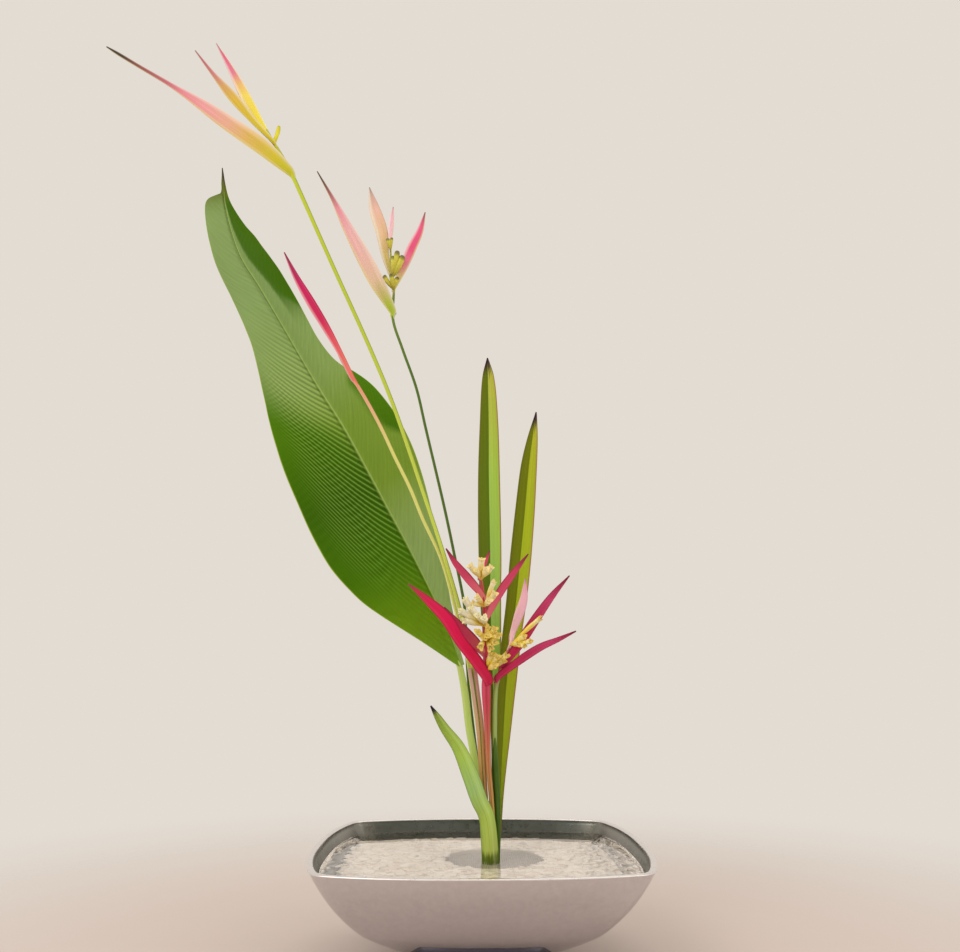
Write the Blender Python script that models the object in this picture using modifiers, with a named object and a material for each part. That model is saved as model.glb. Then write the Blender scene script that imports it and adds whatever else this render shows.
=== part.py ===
"""An ikebana arrangement of heliconia flowers and leaves, held by a pin holder in a square metal bowl.

Lengths are in millimetres up to the mesh, where MM turns them into metres. The origin is the middle of the
bowl's underside, +Z is up, and the arrangement's front faces -Y.
"""

import math

import bmesh
import bpy
from mathutils import Vector

MM = 0.001
GAP = 0.3

# Bowl: a square cushion with bulging sides on a plain foot
RIM_HEIGHT = 88.0
BOWL_HALF = 115.0
SIDE_BULGE = 15.0
BULGE_POWER = 2.6
CORNER_POWER = 40
BODY_DEPTH = 66.0
BODY_CURVE = 6.55e-5
BODY_START = 54.5
LIP_WIDTH = 4.4
WALL = 3.2
FLOOR_THICKNESS = 4.0
FLOOR_ROUNDING = 8.0
FOOT_TOP_HALF = 47.0
FOOT_BASE_HALF = 52.0
BOWL_STEPS = 48
CORNER_GATHERING = 1.4

# What fills it
WATER_HEIGHT = 77.5
GRAVEL_HEIGHT = 73.0
GRAVEL_SHIFT = -10.0
GRAVEL_LEVEL_HALF = 84.0
GRAVEL_LEVEL_BACK = 66.0
GRAVEL_SLOPE_RUN = 26.0
GRAVEL_END_DROP = 14.0
BED_RINGS = (0.3, 0.55, 0.72, 0.84, 0.93)

# Pin holder
HOLDER_CENTRE = (11.0, 1.0)
HOLDER_RADIUS = 39.0
HOLDER_BOTTOM = 50.0
HOLDER_BASE = 10.0
PIN_HEIGHT = 13.5
PIN_PITCH = 6.6
PIN_RADIUS = 0.9
PIN_TIP_RADIUS = 0.3

# The stems stand on the holder's base, inside this oval
BUNDLE_CENTRE = (9.0, -2.5)
BUNDLE_HALF = (11.0, 17.0)
STEM_FOOT = HOLDER_BOTTOM + HOLDER_BASE + GAP

# Between these heights the stems and blades sweep towards the front, down to the pin holder
SWEEP_LOW = 78.0
SWEEP_HIGH = 218.0
SWEEP = (-0.8, -37.0, 0.0)

SHEET = 0.8
LEAF_SHEET = 1.0
SHEATH_SHEET = 0.5
BRACT_SHEET = 0.6
BRACT_ROUNDNESS = 0.6
STEM_CLEARANCE = 0.41

# Stems: points from the foot up, each with the stem's radius there
TALL_STEM = (
    ((5.5, 31.5, STEM_FOOT), 1.7), ((5.5, 31, SWEEP_LOW), 1.7), ((5, 29, 101), 1.7), ((3.5, 26, 127), 1.7),
    ((2, 23, 147), 1.7), ((0, 20, 177), 1.7), ((-4, 17, 206), 1.7), ((-8.5, 13, 239), 1.7),
    ((-18, 9, 275), 1.7), ((-32, 4, 321), 1.7), ((-49, -2, 371), 1.7), ((-74, -10, 442), 1.7),
    ((-96, -16, 495), 1.7), ((-130, -24, 569), 1.7), ((-164, -32, 644), 1.8), ((-172, -34, 660), 1.8),
    ((-186, -36, 684), 1.2), ((-192, -36, 695), 0.8),
)
MIDDLE_STEM = (
    ((6.5, 46, STEM_FOOT), 1.3), ((6.5, 46, SWEEP_LOW), 1.3), ((3, 47, 114), 1.3), ((-2, 49, 150), 1.3),
    ((-9, 51, 205), 1.3), ((-12, 53, 249), 1.3), ((-13.5, 54, 279), 1.3), ((-23, 56, 326), 1.3),
    ((-33, 58, 372), 1.3), ((-50, 61, 443), 1.3), ((-60, 62, 485), 1.3), ((-74, 64, 525), 1.3),
    ((-84, 65, 556), 1.3), ((-84, 66, 585), 1.2), ((-87, 67, 612), 1.0), ((-89, 68, 643), 0.9),
)
BUD_STEM = (
    ((8.8, 35.5, STEM_FOOT), 1.5), ((8.6, 35, SWEEP_LOW), 1.5), ((5, 33, 116), 1.5), ((2, 31, 146), 1.5),
    ((-2, 28.5, 176), 1.5), ((-6.5, 25.5, 206), 1.5), ((-12, 20, 239), 1.5), ((-21, 14, 273), 1.5),
    ((-33, 8, 314), 1.5), ((-49, 3, 348), 1.5), ((-60, 0, 374), 1.5), ((-74, -3, 402), 1.5),
    ((-86, -6, 427), 1.5), ((-101, -10, 454), 1.5), ((-118, -13, 481), 1.5), ((-123, -14.5, 490), 1.2),
)
RED_STEM = (
    ((11.2, 30, STEM_FOOT), 2.0), ((11, 30, SWEEP_LOW), 2.0), ((10.5, 26, 101), 2.0), ((9, 23, 125), 2.0),
    ((7, 19, 147), 2.1), ((6, 15, 177), 2.6), ((5, 10, 206), 3.8), ((5, 7.5, 219), 3.0),
    ((4.5, 5, 238), 2.2), ((4, 2.5, 255), 1.8), ((3, -1, 279), 1.5), ((-0.5, -4.5, 301), 1.1),
)
SIDE_STEM = (
    ((13.4, 35.5, STEM_FOOT), 1.6), ((13.5, 34.5, SWEEP_LOW), 1.6), ((14.2, 31, 101), 1.6),
    ((13.6, 27.5, 125), 1.6), ((12.6, 23, 147), 1.7), ((12.2, 17.5, 177), 1.9), ((13, 12, 206), 1.9),
    ((16, 5, 219), 1.8), ((20, 0, 231), 1.5), ((25, -2.6, 243.5), 1.1),
)
STEM_SHEATH = dict(low=64.0, high=224.0, inner_low=2.65, inner_high=3.1, wall=0.55)

# Leaves and blades: spine points, then rows of (place along it, left width, right width, rise of the margins)
LEAF_PETIOLE = (((4.5, 39.5, STEM_FOOT), 2.6), ((4.5, 40, SWEEP_LOW), 2.8), ((2, 41, 115), 3.0),
                ((-4, 41, 149), 3.0), ((-9, 41.5, 175), 3.1), ((-13, 42, 205), 3.2), ((-19, 42.5, 232), 2.6),
                ((-29, 44, 261), 1.6))
LEAF_SPINE = ((-16, 41, 226), (-29, 44, 261), (-44, 47, 293), (-62, 50, 328), (-84, 53, 368), (-106, 56, 408),
              (-128, 59, 447), (-151, 62, 483), (-175, 65, 523), (-200, 68, 565), (-217, 71, 593),
              (-239, 74, 629), (-256, 77, 679), (-264, 80, 727))
LEAF_ROWS = (
    (0.0, 3, 3, 1), (0.08, 29, 9, 4), (0.15, 51, 20, 7), (0.23, 64, 31, 9), (0.31, 69, 43, 11),
    (0.40, 70, 46, 12), (0.48, 65, 44, 12), (0.56, 56, 33, 10), (0.64, 42, 25, 7), (0.72, 32, 27, 6),
    (0.84, 23, 25, 5), (0.93, 20, 7, 3), (1.0, 1, 1, 0.3),
)
TALL_BLADE_SPINE = ((11, 43.5, STEM_FOOT), (11, 43.5, SWEEP_LOW), (13, 49, 165), (12, 52, 205), (10, 57, 284),
                    (10, 59, 322), (9, 63, 396), (9, 67, 455), (8, 70, 519))
TALL_BLADE_ROWS = ((0, 2.2, 2.2, 1.0), (0.2, 2.6, 2.6, 1.2), (0.4, 7, 8, 3), (0.56, 10.5, 9.8, 4),
                   (0.75, 10, 10, 4), (0.9, 7.5, 8, 3), (0.96, 5, 5.5, 2), (1, 0.5, 0.5, 0.2))
RIGHT_BLADE_SPINE = ((14, 39.5, STEM_FOOT), (14, 39.5, SWEEP_LOW), (16, 41, 107), (17.5, 42, 131),
                     (20, 44, 165), (23, 46, 205), (28, 49, 248), (33, 51, 284), (37, 54, 320), (42, 57, 366),
                     (47, 59, 414), (54, 62, 462))
RIGHT_BLADE_ROWS = ((0, 2.0, 2.0, 1.0), (0.15, 2.4, 2.6, 1.2), (0.37, 8, 8, 3), (0.5, 8.5, 8.5, 3.5),
                    (0.66, 9.5, 9.5, 4), (0.85, 8, 7.5, 3), (0.93, 5, 5, 2), (1, 0.5, 0.5, 0.2))
SHORT_BLADE_SPINE = ((8.8, 24.5, STEM_FOOT), (8.6, 24.3, SWEEP_LOW), (5.5, 19.5, 107), (-1, 14.5, 122),
                     (-8, 8, 141), (-17, 1, 161), (-29, -4, 177), (-40, -10, 194))
SHORT_BLADE_ROWS = ((0, 6.4, 6.4, 2.4), (0.15, 6.4, 6.4, 2.4), (0.36, 7, 6, 2), (0.5, 8, 7, 2),
                    (0.63, 7.5, 7, 2), (0.8, 5.5, 5, 1.5), (0.92, 3.2, 3, 1), (1, 0.5, 0.5, 0.2))
DARK_SHEATH_ROWS = ((0, 2.4, 2.4, 2.2), (0.7, 2.4, 2.4, 2.2), (0.9, 1.9, 1.9, 1.6), (1, 0.6, 0.6, 0.3))
DARK_SHEATH_SPAN = (64.0, 168.0)
DARK_SHEATH_STANDOFF = 2.9

# Bracts: middle line, rows of (place, depth of the fold, half width), and the way the fold opens
BRACTS = {
    "tall_heliconia_bract_1": dict(
        line=((-172, -34, 657), (-196, -39, 677), (-223, -43, 695), (-249, -48, 712), (-276, -53, 728),
              (-303, -57, 743), (-330, -62, 758)),
        rows=((0, 8, 3.0), (0.17, 14, 3.2), (0.33, 13, 2.6), (0.5, 10.4, 2.0), (0.67, 5, 1.4),
              (0.83, 2.4, 1.0), (1, 0.8, 0.4)),
        opens=(0.4, 0, 0.9), stem="tall_heliconia_stem", colour="peach_bract"),
    "tall_heliconia_bract_2": dict(
        line=((-188, -38, 685), (-204, -39, 702), (-222, -42, 723), (-240, -45, 744), (-257, -48, 766)),
        rows=((0, 2.5, 1.2), (0.25, 5.5, 1.6), (0.5, 8.8, 1.9), (0.75, 5, 1.2), (1, 0.8, 0.4)),
        opens=(0.6, 0, 0.7), stem="tall_heliconia_stem", colour="peach_bract"),
    "tall_heliconia_bract_3": dict(
        line=((-191, -34.5, 692), (-202, -32, 709), (-216, -30, 735), (-230, -29, 762), (-245, -28, 789)),
        rows=((0, 3, 1.4), (0.25, 8.4, 2.0), (0.5, 8.8, 2.0), (0.75, 5.2, 1.2), (1, 0.8, 0.4)),
        opens=(-0.7, 0, 0.5), stem="tall_heliconia_stem", colour="peach_bract"),
    "middle_heliconia_bract_1": dict(
        line=((-85, 65, 566), (-100, 61, 593), (-115, 58, 621), (-130, 56, 649), (-145, 53, 678),
              (-161, 50, 706)),
        rows=((0, 7, 2.4), (0.2, 14.5, 3.2), (0.4, 14, 3.0), (0.6, 9.9, 2.2), (0.8, 4.1, 1.2), (1, 0.8, 0.4)),
        opens=(0.85, 0, 0.5), stem="middle_heliconia_stem", colour="rose_bract"),
    "middle_heliconia_bract_2": dict(
        line=((-88, 67.5, 606), (-94, 70, 628), (-98, 72, 653), (-106, 74, 679), (-112, 76, 704)),
        rows=((0, 4, 1.8), (0.25, 8.2, 2.2), (0.5, 12.3, 2.4), (0.75, 10.6, 1.8), (1, 0.8, 0.4)),
        opens=(0.9, 0, 0.3), stem="middle_heliconia_stem", colour="rose_bract"),
    "middle_heliconia_bract_3": dict(
        line=((-89, 68.3, 641), (-88, 70.5, 665), (-87, 72, 680)),
        rows=((0, 3, 1.2), (0.5, 4.8, 1.2), (1, 0.8, 0.4)),
        opens=(-1, 0, 0), stem="middle_heliconia_stem", colour="rose_bract"),
    "middle_heliconia_bract_4": dict(
        line=((-83.5, 66.5, 591), (-74, 65, 613), (-67, 64, 631), (-59, 62, 649), (-54, 60, 668)),
        rows=((0, 5, 2.0), (0.25, 9.6, 2.2), (0.5, 10.4, 2.2), (0.75, 6.4, 1.5), (1, 0.8, 0.4)),
        opens=(-0.9, 0, 0.4), stem="middle_heliconia_stem", colour="rose_bract"),
    "pink_bud_bract": dict(
        line=((-109, -11.5, 472), (-122, -16, 493), (-135, -19, 514), (-148, -23, 535), (-161, -26, 557),
              (-172, -30, 579)),
        rows=((0, 4, 2.2), (0.2, 5, 2.2), (0.4, 7.4, 2.2), (0.6, 8.8, 2.2), (0.8, 7.1, 1.8), (1, 0.8, 0.4)),
        opens=(0.8, 0, 0.5), stem="pink_bud_stem", colour="pink_bract"),
    "red_heliconia_bract_1": dict(
        line=((6, 4, 215), (-4, -3, 230), (-17, -12, 246), (-28, -22, 263), (-43, -31, 277), (-58, -40, 289)),
        rows=((0, 7, 2.8), (0.2, 10, 3.2), (0.4, 9.5, 3.0), (0.6, 10.7, 2.8), (0.8, 8.6, 2.0), (1, 0.8, 0.4)),
        opens=(0.6, 0, 0.8), stem="red_heliconia_stem", colour="crimson_bract"),
    "red_heliconia_bract_2": dict(
        line=((3, 5.5, 236), (-8, 1, 248), (-16, -3, 257), (-23, -6, 265), (-30, -8, 273)),
        rows=((0, 5, 2.0), (0.25, 8.9, 2.4), (0.5, 7.7, 2.2), (0.75, 4.3, 1.4), (1, 0.8, 0.4)),
        opens=(0.6, 0, 0.8), stem="red_heliconia_stem", colour="crimson_bract"),
    "red_heliconia_bract_3": dict(
        line=((2, -1.5, 283), (-10, -3, 297), (-21, -5, 310), (-29, -7, 322)),
        rows=((0, 4.5, 1.6), (0.33, 7, 2.0), (0.67, 7.3, 1.8), (1, 0.8, 0.4)),
        opens=(0.7, 0, 0.7), stem="red_heliconia_stem", colour="crimson_bract"),
    "red_heliconia_bract_4": dict(
        line=((4, 1.5, 263), (15, 9, 284), (28, 15, 303), (42, 20, 321)),
        rows=((0, 4.5, 1.6), (0.33, 6.8, 2.0), (0.67, 8, 1.8), (1, 0.8, 0.4)),
        opens=(-0.7, 0, 0.7), stem="red_heliconia_stem", colour="crimson_bract"),
    "red_heliconia_bract_5": dict(
        line=((-0.5, -4.5, 298), (4, -3, 311), (8, 0, 321)),
        rows=((0, 2.4, 0.9), (0.5, 3.4, 1.0), (1, 0.8, 0.4)),
        opens=(-1, 0, 0.3), stem="red_heliconia_stem", colour="crimson_bract"),
    "side_heliconia_bract_1": dict(
        line=((21, 0, 228.5), (34, -2.5, 246), (46, -6, 264), (59, -12, 282), (73, -19, 298)),
        rows=((0, 4.5, 1.8), (0.25, 8, 2.3), (0.5, 9.5, 2.4), (0.75, 8, 2.0), (1, 0.8, 0.4)),
        opens=(-0.7, 0, 0.7), stem="side_heliconia_stem", colour="crimson_bract"),
    "side_heliconia_bract_2": dict(
        line=((25.4, -1.6, 243.8), (27, 6, 252), (32, 10, 266), (37, 12, 281), (39, 14, 299)),
        rows=((0, 2.4, 1.0), (0.25, 5, 1.6), (0.5, 8, 1.8), (0.75, 6.4, 1.4), (1, 0.8, 0.4)),
        opens=(-0.9, 0, 0.3), stem="side_heliconia_stem", colour="rose_bract"),
    "side_heliconia_bract_3": dict(
        line=((15.5, 5, 217), (33, -12, 230.5), (48, -20, 240), (62, -29, 246), (75, -38, 252)),
        rows=((0, 4, 1.6), (0.25, 6, 2.0), (0.5, 8, 2.0), (0.75, 5, 1.4), (1, 0.8, 0.4)),
        opens=(-0.2, 0, 1), stem="side_heliconia_stem", colour="crimson_bract"),
}

# Florets: how high on the stem they spring from, the tips they reach, and their radii at root and tip
FLORETS = {
    "middle_heliconia_florets_1": dict(height=616, tips=((-73, 57, 624), (-80, 55, 628), (-78, 54, 616)),
                                       radii=(1.1, 1.0), stem="middle_heliconia_stem"),
    "middle_heliconia_florets_2": dict(height=580, tips=((-91, 55, 592), (-79, 54, 592)),
                                       radii=(1.1, 0.9), stem="middle_heliconia_stem"),
    "middle_heliconia_florets_3": dict(height=634, tips=((-91, 60, 646),),
                                       radii=(0.9, 0.7), stem="middle_heliconia_stem"),
    "red_heliconia_florets_1": dict(height=293, tips=((-8, -14, 303), (2, -15, 309), (9, -13, 302)),
                                    radii=(1.4, 1.2), stem="red_heliconia_stem"),
    "red_heliconia_florets_2": dict(height=274, tips=((11, -13, 294), (-3, -15, 281), (7, -16, 278)),
                                    radii=(1.4, 1.2), stem="red_heliconia_stem"),
    "red_heliconia_florets_3": dict(height=258, tips=((-13, -13, 279), (-8, -15, 272), (-14, -14, 262)),
                                    radii=(1.5, 1.3), stem="red_heliconia_stem"),
    "red_heliconia_florets_4": dict(height=247,
                                    tips=((15, -12, 251), (2, -15, 249), (8, -16, 240), (6, -12, 259)),
                                    radii=(1.5, 1.4), stem="red_heliconia_stem"),
    "red_heliconia_florets_5": dict(height=229, tips=((13, -9, 234), (6, -11, 229)),
                                    radii=(1.4, 1.2), stem="red_heliconia_stem"),
    "side_heliconia_florets": dict(height=242, tips=((33, -16, 251), (38, -17, 247)),
                                   radii=(1.2, 1.1), stem="side_heliconia_stem"),
}
BUD_LINE = ((-185.5, -36, 684), (-182, -35.5, 696), (-181, -35, 706))

COLOURS = {
    "polished_metal": ((0.62, 0.60, 0.60), 0.12, 1.0),
    "dark_metal": ((0.30, 0.30, 0.31), 0.45, 1.0),
    "cream_stone": ((0.72, 0.67, 0.58), 0.8, 0.0),
    "water": ((0.55, 0.60, 0.58), 0.05, 0.0),
    "leaf_green": ((0.16, 0.33, 0.05), 0.4, 0.0),
    "blade_green": ((0.25, 0.32, 0.03), 0.45, 0.0),
    "pale_green": ((0.45, 0.58, 0.15), 0.5, 0.0),
    "stem_green": ((0.48, 0.57, 0.10), 0.5, 0.0),
    "dark_green": ((0.10, 0.20, 0.05), 0.5, 0.0),
    "stem_rose": ((0.70, 0.22, 0.16), 0.5, 0.0),
    "sheath_cream": ((0.75, 0.52, 0.42), 0.6, 0.0),
    "peach_bract": ((0.80, 0.42, 0.28), 0.45, 0.0),
    "rose_bract": ((0.75, 0.25, 0.26), 0.45, 0.0),
    "pink_bract": ((0.75, 0.12, 0.20), 0.45, 0.0),
    "crimson_bract": ((0.62, 0.03, 0.10), 0.45, 0.0),
    "yellow_floret": ((0.82, 0.62, 0.16), 0.5, 0.0),
}


def clear_scene():
    for obj in list(bpy.data.objects):
        bpy.data.objects.remove(obj, do_unlink=True)


def new_collection(name, hidden=False):
    collection = bpy.data.collections.new(name)
    bpy.context.scene.collection.children.link(collection)
    collection.hide_render = hidden
    return collection


def material(name):
    found = bpy.data.materials.get(name)
    if found:
        return found
    colour, roughness, metallic = COLOURS[name]
    made = bpy.data.materials.new(name)
    made.use_nodes = True
    shader = made.node_tree.nodes["Principled BSDF"]
    shader.inputs["Base Color"].default_value = (*colour, 1.0)
    shader.inputs["Roughness"].default_value = roughness
    shader.inputs["Metallic"].default_value = metallic
    return made


def add_object(name, data, colour, collection):
    obj = bpy.data.objects.new(name, data)
    collection.objects.link(obj)
    if colour:
        data.materials.append(material(colour))
    return obj


def evaluated_mesh(obj, name):
    """The object's mesh with its modifiers applied, as a new mesh whose caps are welded to its sides."""
    bpy.context.view_layer.update()
    graph = bpy.context.evaluated_depsgraph_get()
    mesh = bpy.data.meshes.new_from_object(obj.evaluated_get(graph))
    mesh.name = name
    shape = bmesh.new()
    shape.from_mesh(mesh)
    bmesh.ops.remove_doubles(shape, verts=shape.verts, dist=1e-6)
    shape.to_mesh(mesh)
    shape.free()
    return mesh


def bake(obj, colour, collection):
    """Replaces an object by the plain mesh that its modifiers give."""
    name = obj.name
    matrix = obj.matrix_world.copy()
    mesh = evaluated_mesh(obj, name)
    bpy.data.objects.remove(obj, do_unlink=True)
    mesh.materials.clear()
    baked = add_object(name, mesh, colour, collection)
    baked.matrix_world = matrix
    return baked


def keep_largest_island(mesh):
    """Drops the loose bits that a cut leaves behind."""
    shape = bmesh.new()
    shape.from_mesh(mesh)
    left = set(shape.verts)
    islands = []
    while left:
        seed = left.pop()
        island = {seed}
        front = [seed]
        while front:
            vert = front.pop()
            for edge in vert.link_edges:
                other = edge.other_vert(vert)
                if other in left:
                    left.discard(other)
                    island.add(other)
                    front.append(other)
        islands.append(island)
    islands.sort(key=len, reverse=True)
    for island in islands[1:]:
        bmesh.ops.delete(shape, geom=list(island), context="VERTS")
    shape.to_mesh(mesh)
    shape.free()


def smooth_shade(obj, angle=50):
    obj.data.shade_smooth()
    obj.data.set_sharp_from_angle(angle=math.radians(angle))


def spline_at(points, place):
    """A point on the smooth curve through the points, place running from 0 to 1 over them."""
    points = [Vector(p) for p in points]
    whole = place * (len(points) - 1)
    first = min(int(whole), len(points) - 2)
    t = whole - first
    b, c = points[first], points[first + 1]
    a = points[first - 1] if first > 0 else b * 2 - c
    d = points[first + 2] if first + 2 < len(points) else c * 2 - b
    return 0.5 * (
        2 * b + (c - a) * t + (2 * a - 5 * b + 4 * c - d) * t * t + (3 * b - a - 3 * c + d) * t ** 3
    )


def swept(point):
    """Where a point of a stem or blade stands once its lower stretch is swept to the front."""
    share = max(0.0, min(1.0, (SWEEP_HIGH - point[2]) / (SWEEP_HIGH - SWEEP_LOW)))
    return Vector(point) + Vector(SWEEP) * share ** 2 * (3 - 2 * share)


def row_at(rows, place):
    """The rows' values at a place along the sheet, joined by straight lines."""
    for low, high in zip(rows, rows[1:]):
        if place <= high[0]:
            t = (place - low[0]) / (high[0] - low[0])
            return [p + (q - p) * t for p, q in zip(low[1:], high[1:])]
    return list(rows[-1][1:])


def even_places(line, count):
    """Places along the curve at even steps of its length."""
    fine = 24 * (len(line) - 1)
    samples = [spline_at(line, i / fine) for i in range(fine + 1)]
    run = [0.0]
    for a, b in zip(samples, samples[1:]):
        run.append(run[-1] + (b - a).length)
    places = []
    k = 0
    for i in range(count + 1):
        wanted = run[-1] * i / count
        while k < fine - 1 and run[k + 1] < wanted:
            k += 1
        places.append((k + (wanted - run[k]) / (run[k + 1] - run[k])) / fine)
    return places


# ---- bowl, gravel, water, pin holder ----


def side_distance(across):
    """How far a side of the bowl's rim lies from the middle, at a distance across it from its own middle."""
    return BOWL_HALF + SIDE_BULGE * (1 - min(1.0, abs(across) / BOWL_HALF) ** BULGE_POWER)


def rim_radius(angle):
    """The rim's distance from the axis in a direction."""
    ux, uy = abs(math.cos(angle)), abs(math.sin(angle))
    radius = BOWL_HALF
    for _ in range(20):
        side_x, side_y = side_distance(radius * uy), side_distance(radius * ux)
        radius = 1 / ((ux / side_x) ** CORNER_POWER + (uy / side_y) ** CORNER_POWER) ** (1 / CORNER_POWER)
    return radius


def gathered_angle(angle):
    """Turns even steps of angle into steps that crowd towards the four corners."""
    corner = math.floor(angle / (math.pi / 2)) * math.pi / 2 + math.pi / 4
    off = (angle - corner) / (math.pi / 4)
    return corner + math.copysign(abs(off) ** CORNER_GATHERING, off) * math.pi / 4


def body_scale(below_rim):
    """The body's half width at a depth below the rim, as a share of its half width at the rim."""
    return math.sqrt(1 + BODY_CURVE * (BODY_START ** 2 - (below_rim + BODY_START) ** 2))


def outer_half(height):
    return BOWL_HALF * body_scale(RIM_HEIGHT - height)


def cavity_profile():
    """The bowl's inside from the middle of its floor to just under its lip, as (half width, height)."""
    floor = RIM_HEIGHT - BODY_DEPTH + FLOOR_THICKNESS
    heights = [floor + 2, floor + 6, floor + 12, floor + 20, floor + 30, floor + 42, RIM_HEIGHT - 7]
    floor_half = outer_half(floor + 2) - WALL - FLOOR_ROUNDING
    return [(0, floor), (floor_half, floor)] + [(outer_half(z) - WALL, z) for z in heights]


def cavity_half(height):
    """The inside's half width at a height, between the rings that make it."""
    wall = cavity_profile()[1:]
    for (half_low, low), (half_high, high) in zip(wall, wall[1:]):
        if height <= high:
            return half_low + (half_high - half_low) * (height - low) / (high - low)
    return wall[-1][0]


def filling_profile(top, end_drop=0.0):
    """The outline of what fills the cavity up to a height, clear of it by the gap, from the top down. No ring
    lies where the ends of its top drop to."""
    wall = [(half - 2 * GAP, z) for half, z in cavity_profile()[2:] if z < top - end_drop]
    floor_half, floor = cavity_profile()[1]
    base = [(floor_half - 3 * GAP, floor + GAP), (0, floor + GAP)]
    return [(cavity_half(top) - 2 * GAP, top)] + wall[::-1] + base


def squared_turning(name, profile, squareness, colour, collection):
    """A turned solid whose rings are then squared up. The profile is in millimetres, (half width, height)."""
    mesh = bpy.data.meshes.new(name)
    points = [(x * MM, 0, z * MM) for x, z in profile]
    mesh.from_pydata(points, [(i, i + 1) for i in range(len(points) - 1)], [])
    turned = bpy.data.objects.new(name, mesh)
    collection.objects.link(turned)
    screw = turned.modifiers.new("Turn", "SCREW")
    screw.steps = screw.render_steps = BOWL_STEPS
    screw.use_merge_vertices = True
    screw.merge_threshold = 1e-6
    solid = bake(turned, colour, collection)
    for vert in solid.data.vertices:
        half = math.hypot(vert.co.x, vert.co.y)
        if half < 1e-7:
            continue
        angle = gathered_angle(math.atan2(vert.co.y, vert.co.x) % (2 * math.pi))
        square = squareness(vert.co.z / MM)
        radius = half * (1 + (rim_radius(angle) / BOWL_HALF - 1) * square)
        vert.co.x = radius * math.cos(angle)
        vert.co.y = radius * math.sin(angle)
    return solid


def bowl_squareness(height):
    """The foot is rounder than the body above it."""
    body_low = RIM_HEIGHT - BODY_DEPTH
    return 0.75 + 0.25 * max(0.0, min(1.0, (height - body_low) / 18))


def make_bowl(collection):
    body_low = RIM_HEIGHT - BODY_DEPTH
    outer_heights = [RIM_HEIGHT - 1.6] + [RIM_HEIGHT - d for d in (7, 15, 24, 33, 42, 50, 57, 62)]
    profile = cavity_profile()
    profile += [(BOWL_HALF - LIP_WIDTH, RIM_HEIGHT - 1.2), (BOWL_HALF - LIP_WIDTH + 0.8, RIM_HEIGHT)]
    profile += [(BOWL_HALF - 0.8, RIM_HEIGHT)]
    profile += [(outer_half(z), z) for z in outer_heights]
    profile += [(FOOT_TOP_HALF + 4, body_low + 1), (FOOT_TOP_HALF, body_low - 4)]
    profile += [(FOOT_TOP_HALF + 1, 8), (FOOT_BASE_HALF, 1.2), (FOOT_BASE_HALF - 0.8, 0), (0, 0)]
    bowl = squared_turning("bowl", profile, bowl_squareness, "polished_metal", collection)
    smooth_shade(bowl, 40)


def cylinder(name, radius, low, high, centre, collection, segments=40):
    shape = bmesh.new()
    bmesh.ops.create_cone(shape, cap_ends=True, segments=segments, depth=(high - low) * MM,
                          radius1=radius * MM, radius2=radius * MM)
    for vert in shape.verts:
        vert.co += Vector((centre[0], centre[1], (low + high) / 2)) * MM
    mesh = bpy.data.meshes.new(name)
    shape.to_mesh(mesh)
    shape.free()
    obj = bpy.data.objects.new(name, mesh)
    collection.objects.link(obj)
    return obj


def as_cutter(obj):
    obj.hide_render = True
    obj.display_type = "WIRE"
    return obj


def boolean(obj, operation, other):
    modifier = obj.modifiers.new(operation.title(), "BOOLEAN")
    modifier.operation = operation
    modifier.object = other
    modifier.solver = "EXACT"


def gravel_top(x, y):
    """The bed is nearly level, and falls away towards its left and right ends and its back."""
    past = max(abs(x - GRAVEL_SHIFT) - GRAVEL_LEVEL_HALF, y - GRAVEL_LEVEL_BACK)
    end = max(0.0, past / GRAVEL_SLOPE_RUN)
    return GRAVEL_HEIGHT - GRAVEL_END_DROP * min(1.0, end) ** 1.5 + 0.5 * math.sin(x / 9) * math.cos(y / 11)


def lay_on_bed(obj, height, above):
    """Moves the vertices at one height onto the bed's top, and inwards where the bowl's wall is lower."""
    for vert in obj.data.vertices:
        if abs(vert.co.z - height * MM) < 1e-6:
            z = gravel_top(vert.co.x / MM, vert.co.y / MM) + above
            narrower = min(1.0, cavity_half(z) / cavity_half(height))
            vert.co.x *= narrower
            vert.co.y *= narrower
            vert.co.z = z * MM


def make_gravel(collection, cutters):
    top = GRAVEL_HEIGHT
    across = cavity_half(top)
    profile = [(0, top)] + [(across * share, top) for share in BED_RINGS]
    profile += filling_profile(top, GRAVEL_END_DROP)
    gravel = squared_turning("gravel_bed", profile, bowl_squareness, "cream_stone", collection)
    lay_on_bed(gravel, top, 0)
    pocket = as_cutter(cylinder("holder_pocket", HOLDER_RADIUS + GAP, HOLDER_BOTTOM - GAP, RIM_HEIGHT,
                                HOLDER_CENTRE, cutters))
    boolean(gravel, "DIFFERENCE", pocket)
    return bake(gravel, "cream_stone", collection)


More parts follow.
